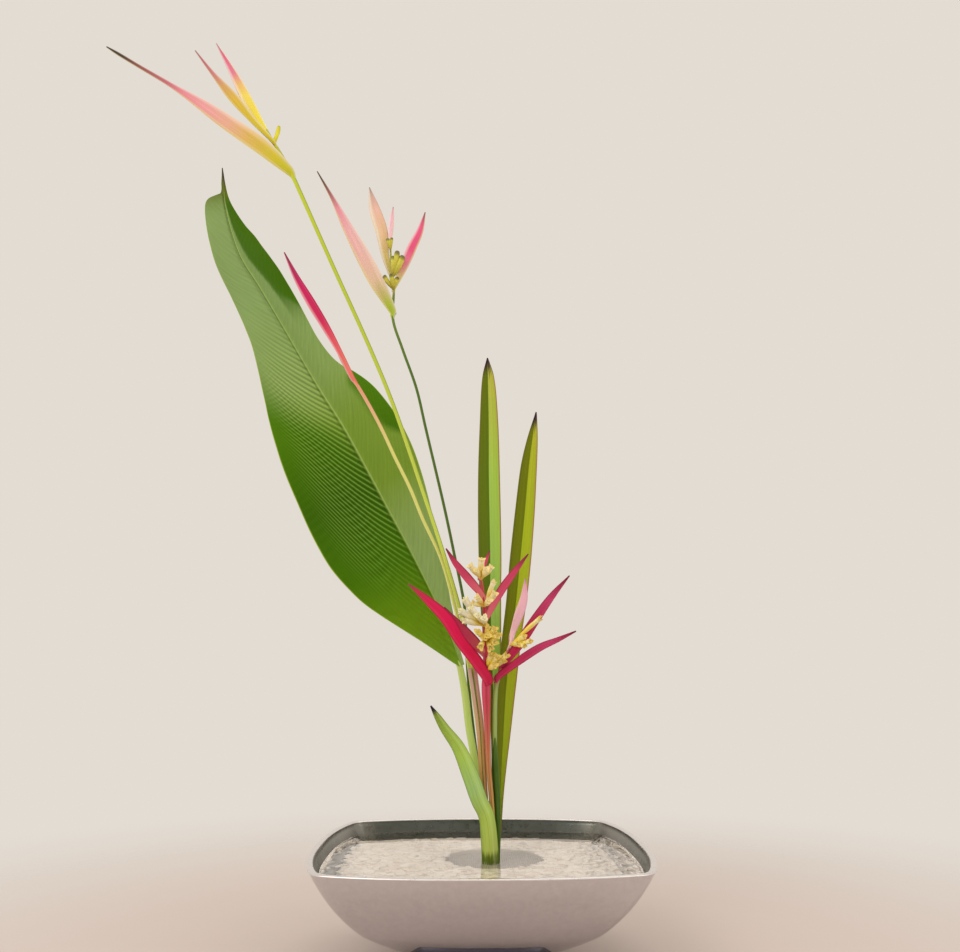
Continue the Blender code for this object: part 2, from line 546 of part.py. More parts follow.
def make_water(collection, cutters):
    top, low = WATER_HEIGHT, GRAVEL_HEIGHT + GAP
    wall = [(half, z) for half, z in filling_profile(top) if z > low]
    profile = [(0, top), (cavity_half(top) * 0.6, top)] + wall + [(cavity_half(low) - 2 * GAP, low)]
    profile += [(cavity_half(low) * share, low) for share in BED_RINGS[::-1]] + [(0, low)]
    water = squared_turning("water", profile, bowl_squareness, "water", collection)
    lay_on_bed(water, low, 8 * GAP)
    over_holder = as_cutter(cylinder("water_over_holder", HOLDER_RADIUS + GAP, HOLDER_BOTTOM,
                                     HOLDER_BOTTOM + HOLDER_BASE + PIN_HEIGHT + GAP, HOLDER_CENTRE, cutters))
    round_stems = cylinder("water_round_stems", 1.0, HOLDER_BOTTOM, RIM_HEIGHT, (0, 0), cutters, 24)
    as_cutter(round_stems)
    for vert in round_stems.data.vertices:
        vert.co.x = vert.co.x * BUNDLE_HALF[0] + BUNDLE_CENTRE[0] * MM
        vert.co.y = vert.co.y * BUNDLE_HALF[1] + BUNDLE_CENTRE[1] * MM
    boolean(water, "DIFFERENCE", over_holder)
    boolean(water, "DIFFERENCE", round_stems)
    return bake(water, "water", collection)


def pin_places():
    """Staggered rows of pins over the base, left out where the stems stand."""
    rows = int(HOLDER_RADIUS / (PIN_PITCH * 0.866))
    for row in range(-rows, rows + 1):
        y = row * PIN_PITCH * 0.866
        shift = PIN_PITCH / 2 if row % 2 else 0
        for column in range(-8, 9):
            x = column * PIN_PITCH + shift
            if math.hypot(x, y) > HOLDER_RADIUS - 3.5:
                continue
            px, py = x + HOLDER_CENTRE[0], y + HOLDER_CENTRE[1]
            off_x = (px - BUNDLE_CENTRE[0]) / (BUNDLE_HALF[0] + PIN_RADIUS)
            off_y = (py - BUNDLE_CENTRE[1]) / (BUNDLE_HALF[1] + PIN_RADIUS)
            if math.hypot(off_x, off_y) > 1:
                yield px, py


def make_pin_holder(collection, cutters):
    base_top = HOLDER_BOTTOM + HOLDER_BASE
    holder = cylinder("pin_holder", HOLDER_RADIUS, HOLDER_BOTTOM, base_top, HOLDER_CENTRE, collection)
    pins = bmesh.new()
    sunk = 1.0
    for px, py in pin_places():
        made = bmesh.ops.create_cone(pins, cap_ends=True, segments=4, radius1=PIN_RADIUS * MM,
                                     radius2=PIN_TIP_RADIUS * MM, depth=(PIN_HEIGHT + sunk) * MM)
        lift = Vector((px, py, base_top + (PIN_HEIGHT - sunk) / 2)) * MM
        for vert in made["verts"]:
            vert.co += lift
    mesh = bpy.data.meshes.new("pins")
    pins.to_mesh(mesh)
    pins.free()
    all_pins = bpy.data.objects.new("pins", mesh)
    cutters.objects.link(as_cutter(all_pins))
    boolean(holder, "UNION", all_pins)
    return bake(holder, "dark_metal", collection)


# ---- stems, blades, bracts, florets ----


def tube_curve(name, points, radii, collection, sides=8, caps=True):
    """A curve object through the points, already in millimetres, as thick as the radii say."""
    curve = bpy.data.curves.new(name, "CURVE")
    curve.dimensions = "3D"
    curve.bevel_depth = MM
    curve.bevel_resolution = (sides - 4) // 2
    curve.use_fill_caps = caps
    spline = curve.splines.new("POLY")
    spline.points.add(len(points) - 1)
    for point, place, radius in zip(spline.points, points, radii):
        point.co = (*(Vector(place) * MM), 1)
        point.radius = radius
    obj = bpy.data.objects.new(name, curve)
    collection.objects.link(obj)
    return obj


def sampled_stem(stem, count):
    """Points and radii at even steps along a stem."""
    line = [swept(place) for place, _ in stem]
    rows = [(i / (len(stem) - 1), radius) for i, (_, radius) in enumerate(stem)]
    places = even_places(line, count)
    return [spline_at(line, p) for p in places], [row_at(rows, p)[0] for p in places]


def make_stem(name, stem, count, colour, collection):
    points, radii = sampled_stem(stem, count)
    obj = tube_curve(name, points, radii, collection)
    return bake(obj, colour, collection)


def make_stem_sheath(collection):
    """An open sleeve round the tall stem, wider towards its top."""
    points, _ = sampled_stem(TALL_STEM, 36)
    inside = [p for p in points if STEM_SHEATH["low"] <= p.z <= STEM_SHEATH["high"]]
    low, high = STEM_SHEATH["inner_low"], STEM_SHEATH["inner_high"]
    radii = [low + (high - low) * (i / (len(inside) - 1)) ** 2 for i in range(len(inside))]
    sleeve = tube_curve("stem_sheath", inside, radii, collection, caps=False)
    sleeve = bake(sleeve, "sheath_cream", collection)
    thicken(sleeve, STEM_SHEATH["wall"], outwards=True)
    return bake(sleeve, "sheath_cream", collection)


def thicken(obj, thickness, outwards):
    solidify = obj.modifiers.new("Thickness", "SOLIDIFY")
    solidify.thickness = thickness * MM
    solidify.offset = 1 if outwards else 0


def open_sheet(name, line, rows, facing, along, across, roundness, sink, collection):
    """A folded strip along a curve. Rows give its left and right widths and how far its margins rise towards
    the way it faces. Roundness under 1 makes the fold a trough, and sink lowers the fold below the curve."""
    facing = Vector(facing)
    shape = bmesh.new()
    grid = []
    places = even_places(line, along)
    for i, place in enumerate(places):
        here = spline_at(line, place)
        ahead = spline_at(line, min(1.0, place + 0.01)) - spline_at(line, max(0.0, place - 0.01))
        ahead.normalize()
        side = ahead.cross(facing).normalized()
        out = side.cross(ahead).normalized()
        left, right, rise = row_at(rows, i / along)
        row = []
        for j in range(-across, across + 1):
            u = j / across
            width = right if j > 0 else left
            point = here + side * math.copysign(abs(u) ** roundness, u) * width
            point += out * rise * (abs(u) - sink)
            row.append(shape.verts.new(point * MM))
        grid.append(row)
    for low, high in zip(grid, grid[1:]):
        for j in range(2 * across):
            shape.faces.new((low[j], low[j + 1], high[j + 1], high[j]))
    mesh = bpy.data.meshes.new(name)
    shape.to_mesh(mesh)
    shape.free()
    obj = bpy.data.objects.new(name, mesh)
    collection.objects.link(obj)
    return obj


def make_blade(name, line, rows, colour, collection, facing=(0, -1, 0), along=16, across=2, thickness=SHEET):
    line = [swept(point) for point in line]
    sheet = open_sheet(name, line, rows, facing, along, across, 1.0, 0.0, collection)
    thicken(sheet, thickness, outwards=False)
    blade = bake(sheet, colour, collection)
    smooth_shade(blade)
    return blade


def make_large_leaf(collection):
    """The leaf's blade and its stalk are one piece."""
    blade = make_blade("large_leaf", LEAF_SPINE, LEAF_ROWS, "leaf_green", collection, along=22, across=3,
                       thickness=LEAF_SHEET)
    points, radii = sampled_stem(LEAF_PETIOLE, 10)
    stalk = bake(tube_curve("leaf_stalk", points, radii, collection), None, collection)
    as_cutter(stalk)
    boolean(blade, "UNION", stalk)
    leaf = bake(blade, "leaf_green", collection)
    bpy.data.objects.remove(stalk, do_unlink=True)
    return leaf


def make_dark_sheath(collection):
    """A half sleeve in front of the side stem."""
    low, high = DARK_SHEATH_SPAN
    points, _ = sampled_stem(SIDE_STEM, 24)
    line = [p + Vector((0, -DARK_SHEATH_STANDOFF, 0)) for p in points if low <= p.z <= high]
    sheet = open_sheet("dark_sheath", line, DARK_SHEATH_ROWS, (0, 1, 0), 10, 2, BRACT_ROUNDNESS, 0.0,
                       collection)
    thicken(sheet, SHEATH_SHEET, outwards=False)
    return bake(sheet, "dark_green", collection)


def stem_clearance(name, stem, count, cutters):
    points, radii = sampled_stem(stem, count)
    wide = [radius + STEM_CLEARANCE for radius in radii]
    points[-1] = points[-1] + (points[-1] - points[-2]).normalized() * STEM_CLEARANCE
    obj = bake(tube_curve(name + "_clearance", points, wide, cutters), None, cutters)
    return as_cutter(obj)


def make_bract(name, spec, clearance, collection):
    rows = [(place, half, half, depth) for place, depth, half in spec["rows"]]
    sheet = open_sheet(name, spec["line"], rows, spec["opens"], 8, 2, BRACT_ROUNDNESS, 0.5, collection)
    thicken(sheet, BRACT_SHEET, outwards=False)
    bract = bake(sheet, spec["colour"], collection)
    boolean(bract, "DIFFERENCE", clearance)
    bract = bake(bract, spec["colour"], collection)
    keep_largest_island(bract.data)
    smooth_shade(bract)
    return bract


def cone_between(name, low, high, radius_low, radius_high, collection, segments=6):
    low, high = Vector(low), Vector(high)
    way = high - low
    shape = bmesh.new()
    bmesh.ops.create_cone(shape, cap_ends=True, segments=segments, depth=way.length * MM,
                          radius1=radius_low * MM, radius2=radius_high * MM)
    turn = way.to_track_quat("Z", "Y").to_matrix()
    for vert in shape.verts:
        vert.co = turn @ vert.co + (low + high) / 2 * MM
    mesh = bpy.data.meshes.new(name)
    shape.to_mesh(mesh)
    shape.free()
    obj = bpy.data.objects.new(name, mesh)
    collection.objects.link(obj)
    return obj


def stem_at_height(stem, height):
    """The stem's middle and radius where it passes a height."""
    points, radii = sampled_stem(stem, 200)
    return min(zip(points, radii), key=lambda pair: abs(pair[0].z - height))


def make_florets(name, spec, stem, clearance, collection, cutters):
    """Slim florets that spring from one root on the stem."""
    radius_root, radius_tip = spec["radii"]
    root, stem_radius = stem_at_height(stem, spec["height"])
    root += Vector((0, -stem_radius - 0.6, 0))
    shape = bmesh.new()
    bmesh.ops.create_icosphere(shape, subdivisions=1, radius=radius_root * 1.25 * MM)
    for vert in shape.verts:
        vert.co += root * MM
    mesh = bpy.data.meshes.new(name)
    shape.to_mesh(mesh)
    shape.free()
    cluster = bpy.data.objects.new(name, mesh)
    collection.objects.link(cluster)
    for number, tip in enumerate(spec["tips"]):
        floret = cone_between(f"{name}_part_{number}", root, tip, radius_root * 0.8, radius_tip, cutters)
        boolean(cluster, "UNION", as_cutter(floret))
    boolean(cluster, "DIFFERENCE", clearance)
    cluster = bake(cluster, "yellow_floret", collection)
    keep_largest_island(cluster.data)
    return cluster


def make_bud(clearance, collection):
    radii = (1.1, 1.3, 0.5)
    bud = tube_curve("tall_heliconia_bud", BUD_LINE, radii, collection, sides=6)
    bud = bake(bud, "yellow_floret", collection)
    boolean(bud, "DIFFERENCE", clearance)
    bud = bake(bud, "yellow_floret", collection)
    keep_largest_island(bud.data)
    return bud


def main():
    clear_scene()
    parts = new_collection("ikebana_arrangement")
    cutters = new_collection("cutters", hidden=True)
    make_bowl(parts)
    make_gravel(parts, cutters)
    make_pin_holder(parts, cutters)
    make_water(parts, cutters)
    stems = {
        "tall_heliconia_stem": (TALL_STEM, 22, "stem_green"),
        "middle_heliconia_stem": (MIDDLE_STEM, 18, "dark_green"),
        "pink_bud_stem": (BUD_STEM, 16, "stem_green"),
        "red_heliconia_stem": (RED_STEM, 12, "stem_rose"),
        "side_heliconia_stem": (SIDE_STEM, 10, "pale_green"),
    }
    clearances = {}
    for name, (stem, count, colour) in stems.items():
        make_stem(name, stem, count, colour, parts)
        clearances[name] = stem_clearance(name, stem, count, cutters)
    make_stem_sheath(parts)
    make_dark_sheath(parts)
    make_large_leaf(parts)
    make_blade("tall_blade", TALL_BLADE_SPINE, TALL_BLADE_ROWS, "blade_green", parts)
    make_blade("right_blade", RIGHT_BLADE_SPINE, RIGHT_BLADE_ROWS, "blade_green", parts)
    make_blade("short_blade", SHORT_BLADE_SPINE, SHORT_BLADE_ROWS, "pale_green", parts, facing=(0, 1, 0),
               along=14)
    for name, spec in BRACTS.items():
        make_bract(name, spec, clearances[spec["stem"]], parts)
    for name, spec in FLORETS.items():
        make_florets(name, spec, stems[spec["stem"]][0], clearances[spec["stem"]], parts, cutters)
    make_bud(clearances["tall_heliconia_stem"], parts)


main()
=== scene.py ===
import math
import random

import bpy
from mathutils import Matrix, Vector


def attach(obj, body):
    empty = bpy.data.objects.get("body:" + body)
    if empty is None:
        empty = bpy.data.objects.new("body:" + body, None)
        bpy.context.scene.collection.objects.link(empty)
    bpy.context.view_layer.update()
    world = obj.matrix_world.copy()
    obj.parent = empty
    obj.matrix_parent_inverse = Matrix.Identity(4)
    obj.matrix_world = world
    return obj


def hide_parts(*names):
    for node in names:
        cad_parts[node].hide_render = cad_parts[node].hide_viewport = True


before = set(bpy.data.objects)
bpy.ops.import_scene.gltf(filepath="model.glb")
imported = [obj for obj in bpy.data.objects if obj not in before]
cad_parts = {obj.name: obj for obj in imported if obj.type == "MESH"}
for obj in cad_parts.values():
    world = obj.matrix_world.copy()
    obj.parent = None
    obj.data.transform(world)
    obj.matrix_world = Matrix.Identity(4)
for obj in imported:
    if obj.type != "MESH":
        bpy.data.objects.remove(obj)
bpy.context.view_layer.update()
mm = 0.001  # sizes below are in millimetres, meshes are in metres
footHeight = 60.3  # where the stems stand on the pin holder's base
sweepLow, sweepHigh = 78.0, 218.0  # between these heights the stems sweep towards the front
sweep = (-0.8, -37.0, 0)  # how far they sweep


def toLinear(hexColour):
    channels = [int(hexColour[i:i + 2], 16) / 255 for i in (1, 3, 5)]
    return [c / 12.92 if c <= 0.04045 else ((c + 0.055) / 1.055) ** 2.4 for c in channels] + [1.0]


def addNode(tree, kind, inputs=None, stops=None, **settings):
    node = tree.nodes.new("ShaderNode" + kind)
    for name, value in settings.items():
        setattr(node, name, value)
    if stops:  # (place, colour, alpha) of a colour ramp
        ramp = node.color_ramp
        for stop in stops[1:-1]:
            ramp.elements.new(stop[0])
        for element, (place, colour, *alpha) in zip(ramp.elements, stops):
            element.position = place
            element.color = toLinear(colour)[:3] + (alpha or [1.0])
    for name, value in (inputs or {}).items():
        if isinstance(value, bpy.types.NodeSocket):
            tree.links.new(value, node.inputs[name])
        else:
            node.inputs[name].default_value = value
    return node


def newMaterial(name, **shaderSettings):
    made = bpy.data.materials.new(name)
    made.use_nodes = True
    shader = made.node_tree.nodes["Principled BSDF"]
    for setting, value in shaderSettings.items():
        shader.inputs[setting].default_value = value
    return made, made.node_tree, shader


def deselectAll():
    bpy.ops.object.select_all(action="DESELECT")


def active(obj):
    deselectAll()
    obj.select_set(True)
    bpy.context.view_layer.objects.active = obj
    return obj


def named(name):
    obj = bpy.context.object
    obj.name = obj.data.name = name
    return obj


def applyModifier(obj, kind, **settings):
    active(obj)
    modifier = obj.modifiers.new(kind.title(), kind)
    for name, value in settings.items():
        setattr(modifier, name, value)
    bpy.ops.object.modifier_apply(modifier=modifier.name)


def joinAll(pieces, name):
    deselectAll()
    for piece in pieces:
        piece.select_set(True)
    bpy.context.view_layer.objects.active = pieces[0]
    if len(pieces) > 1:
        bpy.ops.object.join()
    return named(name)


def weldAndFace(obj):
    active(obj)
    bpy.ops.object.mode_set(mode="EDIT")
    bpy.ops.mesh.select_mode(type="VERT")
    bpy.ops.mesh.select_all(action="SELECT")
    bpy.ops.mesh.remove_doubles(threshold=1e-6)
    bpy.ops.mesh.select_all(action="DESELECT")
    bpy.ops.mesh.select_non_manifold()
    bpy.ops.mesh.fill_holes(sides=0)
    bpy.ops.mesh.select_all(action="SELECT")
    bpy.ops.mesh.normals_make_consistent(inside=False)
    bpy.ops.object.mode_set(mode="OBJECT")


def smooth(obj, angle=35):
    active(obj)
    bpy.ops.object.shade_smooth_by_angle(angle=math.radians(angle))


def finishPiece(obj, slot, nodes, *materials):
    obj.data.materials.clear()
    for made in materials:
        obj.data.materials.append(made)
    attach(obj, "root")
    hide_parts(*nodes)


def linePoint(points, place):
    whole = place * (len(points) - 1)
    first = min(int(whole), len(points) - 2)
    t = whole - first
    b, c = points[first], points[first + 1]
    a = points[first - 1] if first > 0 else b * 2 - c
    d = points[first + 2] if first + 2 < len(points) else c * 2 - b
    return 0.5 * (2 * b + (c - a) * t + (2 * a - 5 * b + 4 * c - d) * t * t + (3 * b - a - 3 * c + d) * t ** 3)


def swept(point):
    # a stem's or blade's lower stretch sweeps to the front
    share = max(0.0, min(1.0, (sweepHigh - point[2]) / (sweepHigh - sweepLow)))
    return Vector(point[:3]) + Vector(sweep) * share ** 2 * (3 - 2 * share)


def lineFrames(line, count, facing):
    # even steps along the smooth curve: the point, the way to its side, the way it faces and the length so far
    points = [Vector(p) for p in line]
    fine = 40 * (len(points) - 1)
    samples = [linePoint(points, i / fine) for i in range(fine + 1)]
    run = [0.0]
    for a, b in zip(samples, samples[1:]):
        run.append(run[-1] + (b - a).length)
    frames, k = [], 0
    for i in range(count + 1):
        wanted = run[-1] * i / count
        while k < fine - 1 and run[k + 1] < wanted:
            k += 1
        place = (k + (wanted - run[k]) / (run[k + 1] - run[k])) / fine
        ahead = linePoint(points, min(1.0, place + 0.008)) - linePoint(points, max(0.0, place - 0.008))
        side = ahead.cross(Vector(facing)).normalized()
        out = side.cross(ahead).normalized()
        frames.append((linePoint(points, place), side, out, wanted, place))
    return frames


def valueAt(rows, place):
    # the rows' values at a place, joined by smooth curves
    k = 0
    while k < len(rows) - 2 and place > rows[k + 1][0]:
        k += 1

    def slope(i):
        low, high = rows[max(i - 1, 0)], rows[min(i + 1, len(rows) - 1)]
        return [(q - p) / (high[0] - low[0]) for p, q in zip(low[1:], high[1:])]

    low, high = rows[k], rows[k + 1]
    step = high[0] - low[0]
    t = min(1.0, max(0.0, (place - low[0]) / step))
    found = []
    for p, q, m, n in zip(low[1:], high[1:], slope(k), slope(k + 1)):
        found.append((2 * t ** 3 - 3 * t ** 2 + 1) * p + (t ** 3 - 2 * t ** 2 + t) * step * m
                     + (3 * t ** 2 - 2 * t ** 3) * q + (t ** 3 - t ** 2) * step * n)
    return found


def bendGrid(name, line, facing, along, across, placeOf):
    # a flat grid laid along the line; placeOf gives the shift to the side and forwards at (along, across, run)
    deselectAll()
    bpy.ops.mesh.primitive_grid_add(x_subdivisions=across, y_subdivisions=along, size=1)
    sheet = named(name)
    frames = lineFrames(line, along, facing)
    for vertex in sheet.data.vertices:
        step = round((vertex.co.y + 0.5) * along)
        point, side, out, run, _ = frames[step]
        sideways, forwards = placeOf(step / along, 2 * vertex.co.x, run)
        vertex.co = (point + side * sideways + out * forwards) * mm
    return sheet


def tube(name, stem, along=90, around=16, ribs=0.0):
    # stem: (x, y, z, radius) points; the seam lies at the back
    facing = (0, -1, 0)
    line = [swept(p) for p in stem]
    radii = [(i / (len(stem) - 1), p[3]) for i, p in enumerate(stem)]
    places = [f[4] for f in lineFrames(line, along, facing)]

    def ring(u, v, run):
        radius = valueAt(radii, places[round(u * along)])[0] * (1 + ribs * math.cos(8 * math.pi * v))
        return math.sin(math.pi * v) * radius, math.cos(math.pi * v) * radius

    made = bendGrid(name, line, facing, along, around, ring)
    weldAndFace(made)
    smooth(made, 60)
    return made


def stemAt(stem, height):
    # middle and radius of a stem where it passes a height
    points = [swept(p) for p in stem]
    radii = [(i / (len(stem) - 1), p[3]) for i, p in enumerate(stem)]
    places = [i / 400 for i in range(401)]
    place = min(places, key=lambda p: abs(linePoint(points, p).z - height))
    return linePoint(points, place), valueAt(radii, place)[0]


def plantSkin(name, along, across=None, tip=None, roughness=0.42, gloss=0.16, streaks=0.12, lines=40,
              relief=0.15):
    # living plant skin: soft waxy gloss, colour that runs along the piece, fine lines along its length
    made, tree, shader = newMaterial(name, **{"Specular IOR Level": gloss})
    uv = addNode(tree, "TexCoord").outputs["UV"]
    split = addNode(tree, "SeparateXYZ", {"Vector": uv})
    stretched = addNode(tree, "Mapping", {"Vector": uv, "Scale": (lines * 0.35, 3.0, 1.0)})
    fibre = addNode(tree, "TexNoise", {"Vector": stretched.outputs[0], "Scale": 1.0, "Detail": 5.0,
                                       "Roughness": 0.6})
    shift = addNode(tree, "MapRange", {0: fibre.outputs["Fac"], 1: 0.2, 2: 0.8, 3: -0.035, 4: 0.035})
    place = addNode(tree, "Math", {0: split.outputs["Y"], 1: shift.outputs[0]}, operation="ADD")
    colour = addNode(tree, "ValToRGB", {"Fac": place.outputs[0]}, stops=along).outputs["Color"]
    # the colour across: on stems and blades mostly painted light and shade, one side lighter, the other darker
    if across:
        over = addNode(tree, "ValToRGB", {"Fac": split.outputs["X"]}, stops=across)
        colour = addNode(tree, "Mix", {0: over.outputs["Alpha"], 6: colour, 7: over.outputs["Color"]},
                         data_type="RGBA").outputs[2]
    dark = addNode(tree, "MapRange", {0: fibre.outputs["Fac"], 1: 0.3, 2: 0.7, 3: 1 - streaks,
                                      4: 1 + streaks})
    colour = addNode(tree, "Mix", {0: 1.0, 6: colour, 7: dark.outputs[0]}, data_type="RGBA",
                     blend_type="MULTIPLY").outputs[2]
    if tip:  # (where it starts, colour)
        reach = addNode(tree, "MapRange", {0: place.outputs[0], 1: tip[0] - 0.012, 2: tip[0] + 0.012})
        colour = addNode(tree, "Mix", {0: reach.outputs[0], 6: colour, 7: toLinear(tip[1])},
                         data_type="RGBA").outputs[2]
    tree.links.new(colour, shader.inputs["Base Color"])
    waves = addNode(tree, "Math", {0: split.outputs["X"], 1: lines * math.pi}, operation="MULTIPLY")
    ridge = addNode(tree, "Math", {0: waves.outputs[0]}, operation="SINE")
    height = addNode(tree, "Math", {0: ridge.outputs[0], 1: fibre.outputs["Fac"]}, operation="ADD")
    bump = addNode(tree, "Bump", {"Strength": relief, "Distance": 0.0002, "Height": height.outputs[0]})
    tree.links.new(bump.outputs[0], shader.inputs["Normal"])
    rough = addNode(tree, "MapRange", {0: fibre.outputs["Fac"], 1: 0.3, 2: 0.7, 3: roughness - 0.06,
                                       4: roughness + 0.08})
    tree.links.new(rough.outputs[0], shader.inputs["Roughness"])
    return made


bowl = dict(
    rim=88.0, half=115.0, bulge=15.0, bulgePower=2.6, cornerPower=40, depth=66.0, curve=6.55e-5, start=54.5,
    lip=4.4, wall=3.2, floor=26.0, footEnd=22.5, insideFrom=23.0, lipDrop=1.1, steps=288, bodySteps=40,
    insideSteps=24, gathering=1.4,
    footRings=[(3, 1.6), (40, 1.6), (42.5, 1.2), (44, 0.3), (45, 0), (51.2, 0), (51.8, 0.4), (52, 1.2),
               (50.6, 3.2), (49.2, 5.6), (48.1, 8.4), (47.3, 12), (47, 16), (47.3, 18.6), (48.4, 20.6),
               (50.4, 21.7), (53.2, 22)],
    # the inside's dark grey and its paler ends are painted reflection; the foot's dark grey is painted shade
    mirror="#d9d5d8", lipColour="#e9e4e2", inside="#5d615c", insideEndsPaintedReflection="#918e86", foot="#5d5a62")


def rimRadius(angle):
    ux, uy = abs(math.cos(angle)), abs(math.sin(angle))
    radius = bowl["half"]
    for _ in range(20):
        sides = []
        for across in (radius * uy, radius * ux):
            share = min(1.0, across / bowl["half"]) ** bowl["bulgePower"]
            sides.append(bowl["half"] + bowl["bulge"] * (1 - share))
        power = bowl["cornerPower"]
        radius = 1 / ((ux / sides[0]) ** power + (uy / sides[1]) ** power) ** (1 / power)
    return radius


def outerHalf(height):
    below = bowl["rim"] - height
    return bowl["half"] * math.sqrt(1 + bowl["curve"] * (bowl["start"] ** 2 - (below + bowl["start"]) ** 2))


def innerHalf(height):
    return outerHalf(height) - bowl["wall"]


def squaredRings(name, rings, steps):
    # a circle extruded ring by ring, (half width, height), then closed and squared up as the bowl is
    deselectAll()
    radius, height = rings[0]
    bpy.ops.mesh.primitive_circle_add(vertices=steps, radius=radius * mm, location=(0, 0, height * mm))
    made = named(name)
    bpy.ops.object.transform_apply(location=True, rotation=True, scale=True)
    bpy.ops.object.mode_set(mode="EDIT")
    bpy.ops.mesh.select_mode(type="EDGE")
    bpy.ops.mesh.select_all(action="SELECT")
    for nextRadius, nextHeight in rings[1:]:
        bpy.ops.mesh.extrude_edges_move(TRANSFORM_OT_translate={"value": (0, 0, (nextHeight - height) * mm)})
        share = nextRadius / radius
        bpy.ops.transform.resize(value=(share, share, 1), center_override=(0, 0, 0))
        radius, height = nextRadius, nextHeight
    bpy.ops.object.mode_set(mode="OBJECT")
    for vertex in made.data.vertices:
        half = math.hypot(vertex.co.x, vertex.co.y)
        angle = math.atan2(vertex.co.y, vertex.co.x) % (2 * math.pi)
        corner = math.floor(angle / (math.pi / 2)) * math.pi / 2 + math.pi / 4
        off = (angle - corner) / (math.pi / 4)
        angle = corner + math.copysign(abs(off) ** bowl["gathering"], off) * math.pi / 4
        square = 0.75 + 0.25 * max(0.0, min(1.0, (vertex.co.z / mm - bowl["rim"] + bowl["depth"]) / 18))
        radius = half * (1 + (rimRadius(angle) / bowl["half"] - 1) * square)
        vertex.co.x, vertex.co.y = radius * math.cos(angle), radius * math.sin(angle)
    weldAndFace(made)
    return made


def aluminium(name, colour, roughness, waves, paintedEndReflection=None):
    # cast aluminium: a long-wave unevenness that bends what it mirrors, and fine polishing haze;
    # given an end colour, its ends are painted paler, a painted reflection
    made, tree, shader = newMaterial(name, Metallic=1.0)
    place = addNode(tree, "TexCoord").outputs["Object"]
    cast = addNode(tree, "TexNoise", {"Vector": place, "Scale": 1 / (38 * mm), "Detail": 2.0})
    haze = addNode(tree, "TexNoise", {"Vector": place, "Scale": 1 / (5 * mm), "Detail": 6.0,
                                      "Roughness": 0.7})
    bump = addNode(tree, "Bump", {"Strength": waves, "Distance": 0.002, "Height": cast.outputs["Fac"]})
    tree.links.new(bump.outputs[0], shader.inputs["Normal"])
    rough = addNode(tree, "MapRange", {0: haze.outputs["Fac"], 1: 0.3, 2: 0.75, 3: roughness * 0.75,
                                       4: roughness * 1.4})
    tree.links.new(rough.outputs[0], shader.inputs["Roughness"])
    tint = addNode(tree, "MapRange", {0: haze.outputs["Fac"], 1: 0.3, 2: 0.7, 3: 0.94, 4: 1.04})
    base = toLinear(colour)
    if paintedEndReflection:
        # painted reflection: paler towards the ends along x
        split = addNode(tree, "SeparateXYZ", {"Vector": place})
        aside = addNode(tree, "Math", {0: split.outputs["X"]}, operation="ABSOLUTE")
        ends = addNode(tree, "MapRange", {0: aside.outputs[0], 1: 0.085, 2: 0.118},
                       interpolation_type="SMOOTHSTEP")
        base = addNode(tree, "Mix", {0: ends.outputs[0], 6: base, 7: toLinear(paintedEndReflection)},
                       data_type="RGBA").outputs[2]
    mixed = addNode(tree, "Mix", {0: 1.0, 6: base, 7: tint.outputs[0]}, data_type="RGBA",
                    blend_type="MULTIPLY")
    tree.links.new(mixed.outputs[2], shader.inputs["Base Color"])
    return made


def makeBowl():
    rim, low = bowl["rim"], bowl["rim"] - bowl["depth"]
    rings = list(bowl["footRings"])
    for i in range(bowl["bodySteps"] + 1):
        height = low + 1 + (bowl["depth"] - 2.6) * i / bowl["bodySteps"]
        rings.append((outerHalf(height), height))
    half = bowl["half"]
    rings += [(half - 0.28, rim - 0.9), (half - 0.34, rim - 0.45), (half - 0.6, rim - 0.15),
              (half - 1.0, rim)]
    inner = half - bowl["lip"]
    rings += [(inner + 1.0, rim), (inner + 0.6, rim - 0.15), (inner + 0.32, rim - 0.45),
              (inner + 0.25, rim - 1.0)]
    top, base = rim - 2.0, bowl["floor"] + 2
    for i in range(bowl["insideSteps"] + 1):
        height = top + (base - top) * i / bowl["insideSteps"]
        rings.append((innerHalf(height), height))
    rings += [(innerHalf(base) - 2.5, base - 1.3), (innerHalf(base) - 8, bowl["floor"]), (3, bowl["floor"])]
    made = squaredRings("cast_bowl", rings, bowl["steps"])
    finishPiece(made, "polished_metal", ["bowl"],
                aluminium("polishedCastAluminium", bowl["mirror"], 0.04, 0.16),
                aluminium("satinAluminiumLip", bowl["lipColour"], 0.3, 0.05),
                # painted reflection: the dark inside with paler ends
                aluminium("aluminiumInsidePaintedReflection", bowl["inside"], 0.3, 0.12, bowl["insideEndsPaintedReflection"]),
                # painted shade: the foot's dark grey, which the belly mirrors
                aluminium("dullAluminiumFootPaintedShade", bowl["foot"], 0.35, 0.1))
    for face in made.data.polygons:
        inwards = face.center.x * face.normal.x + face.center.y * face.normal.y < 0
        if face.center.z < bowl["footEnd"] * mm:
            face.material_index = 3
        if face.center.z > (rim - bowl["lipDrop"]) * mm:
            face.material_index = 1
        elif face.center.z > bowl["insideFrom"] * mm and (inwards or face.normal.z > 0.5):
            face.material_index = 2
    smooth(made, 50)
    print("bowl made")


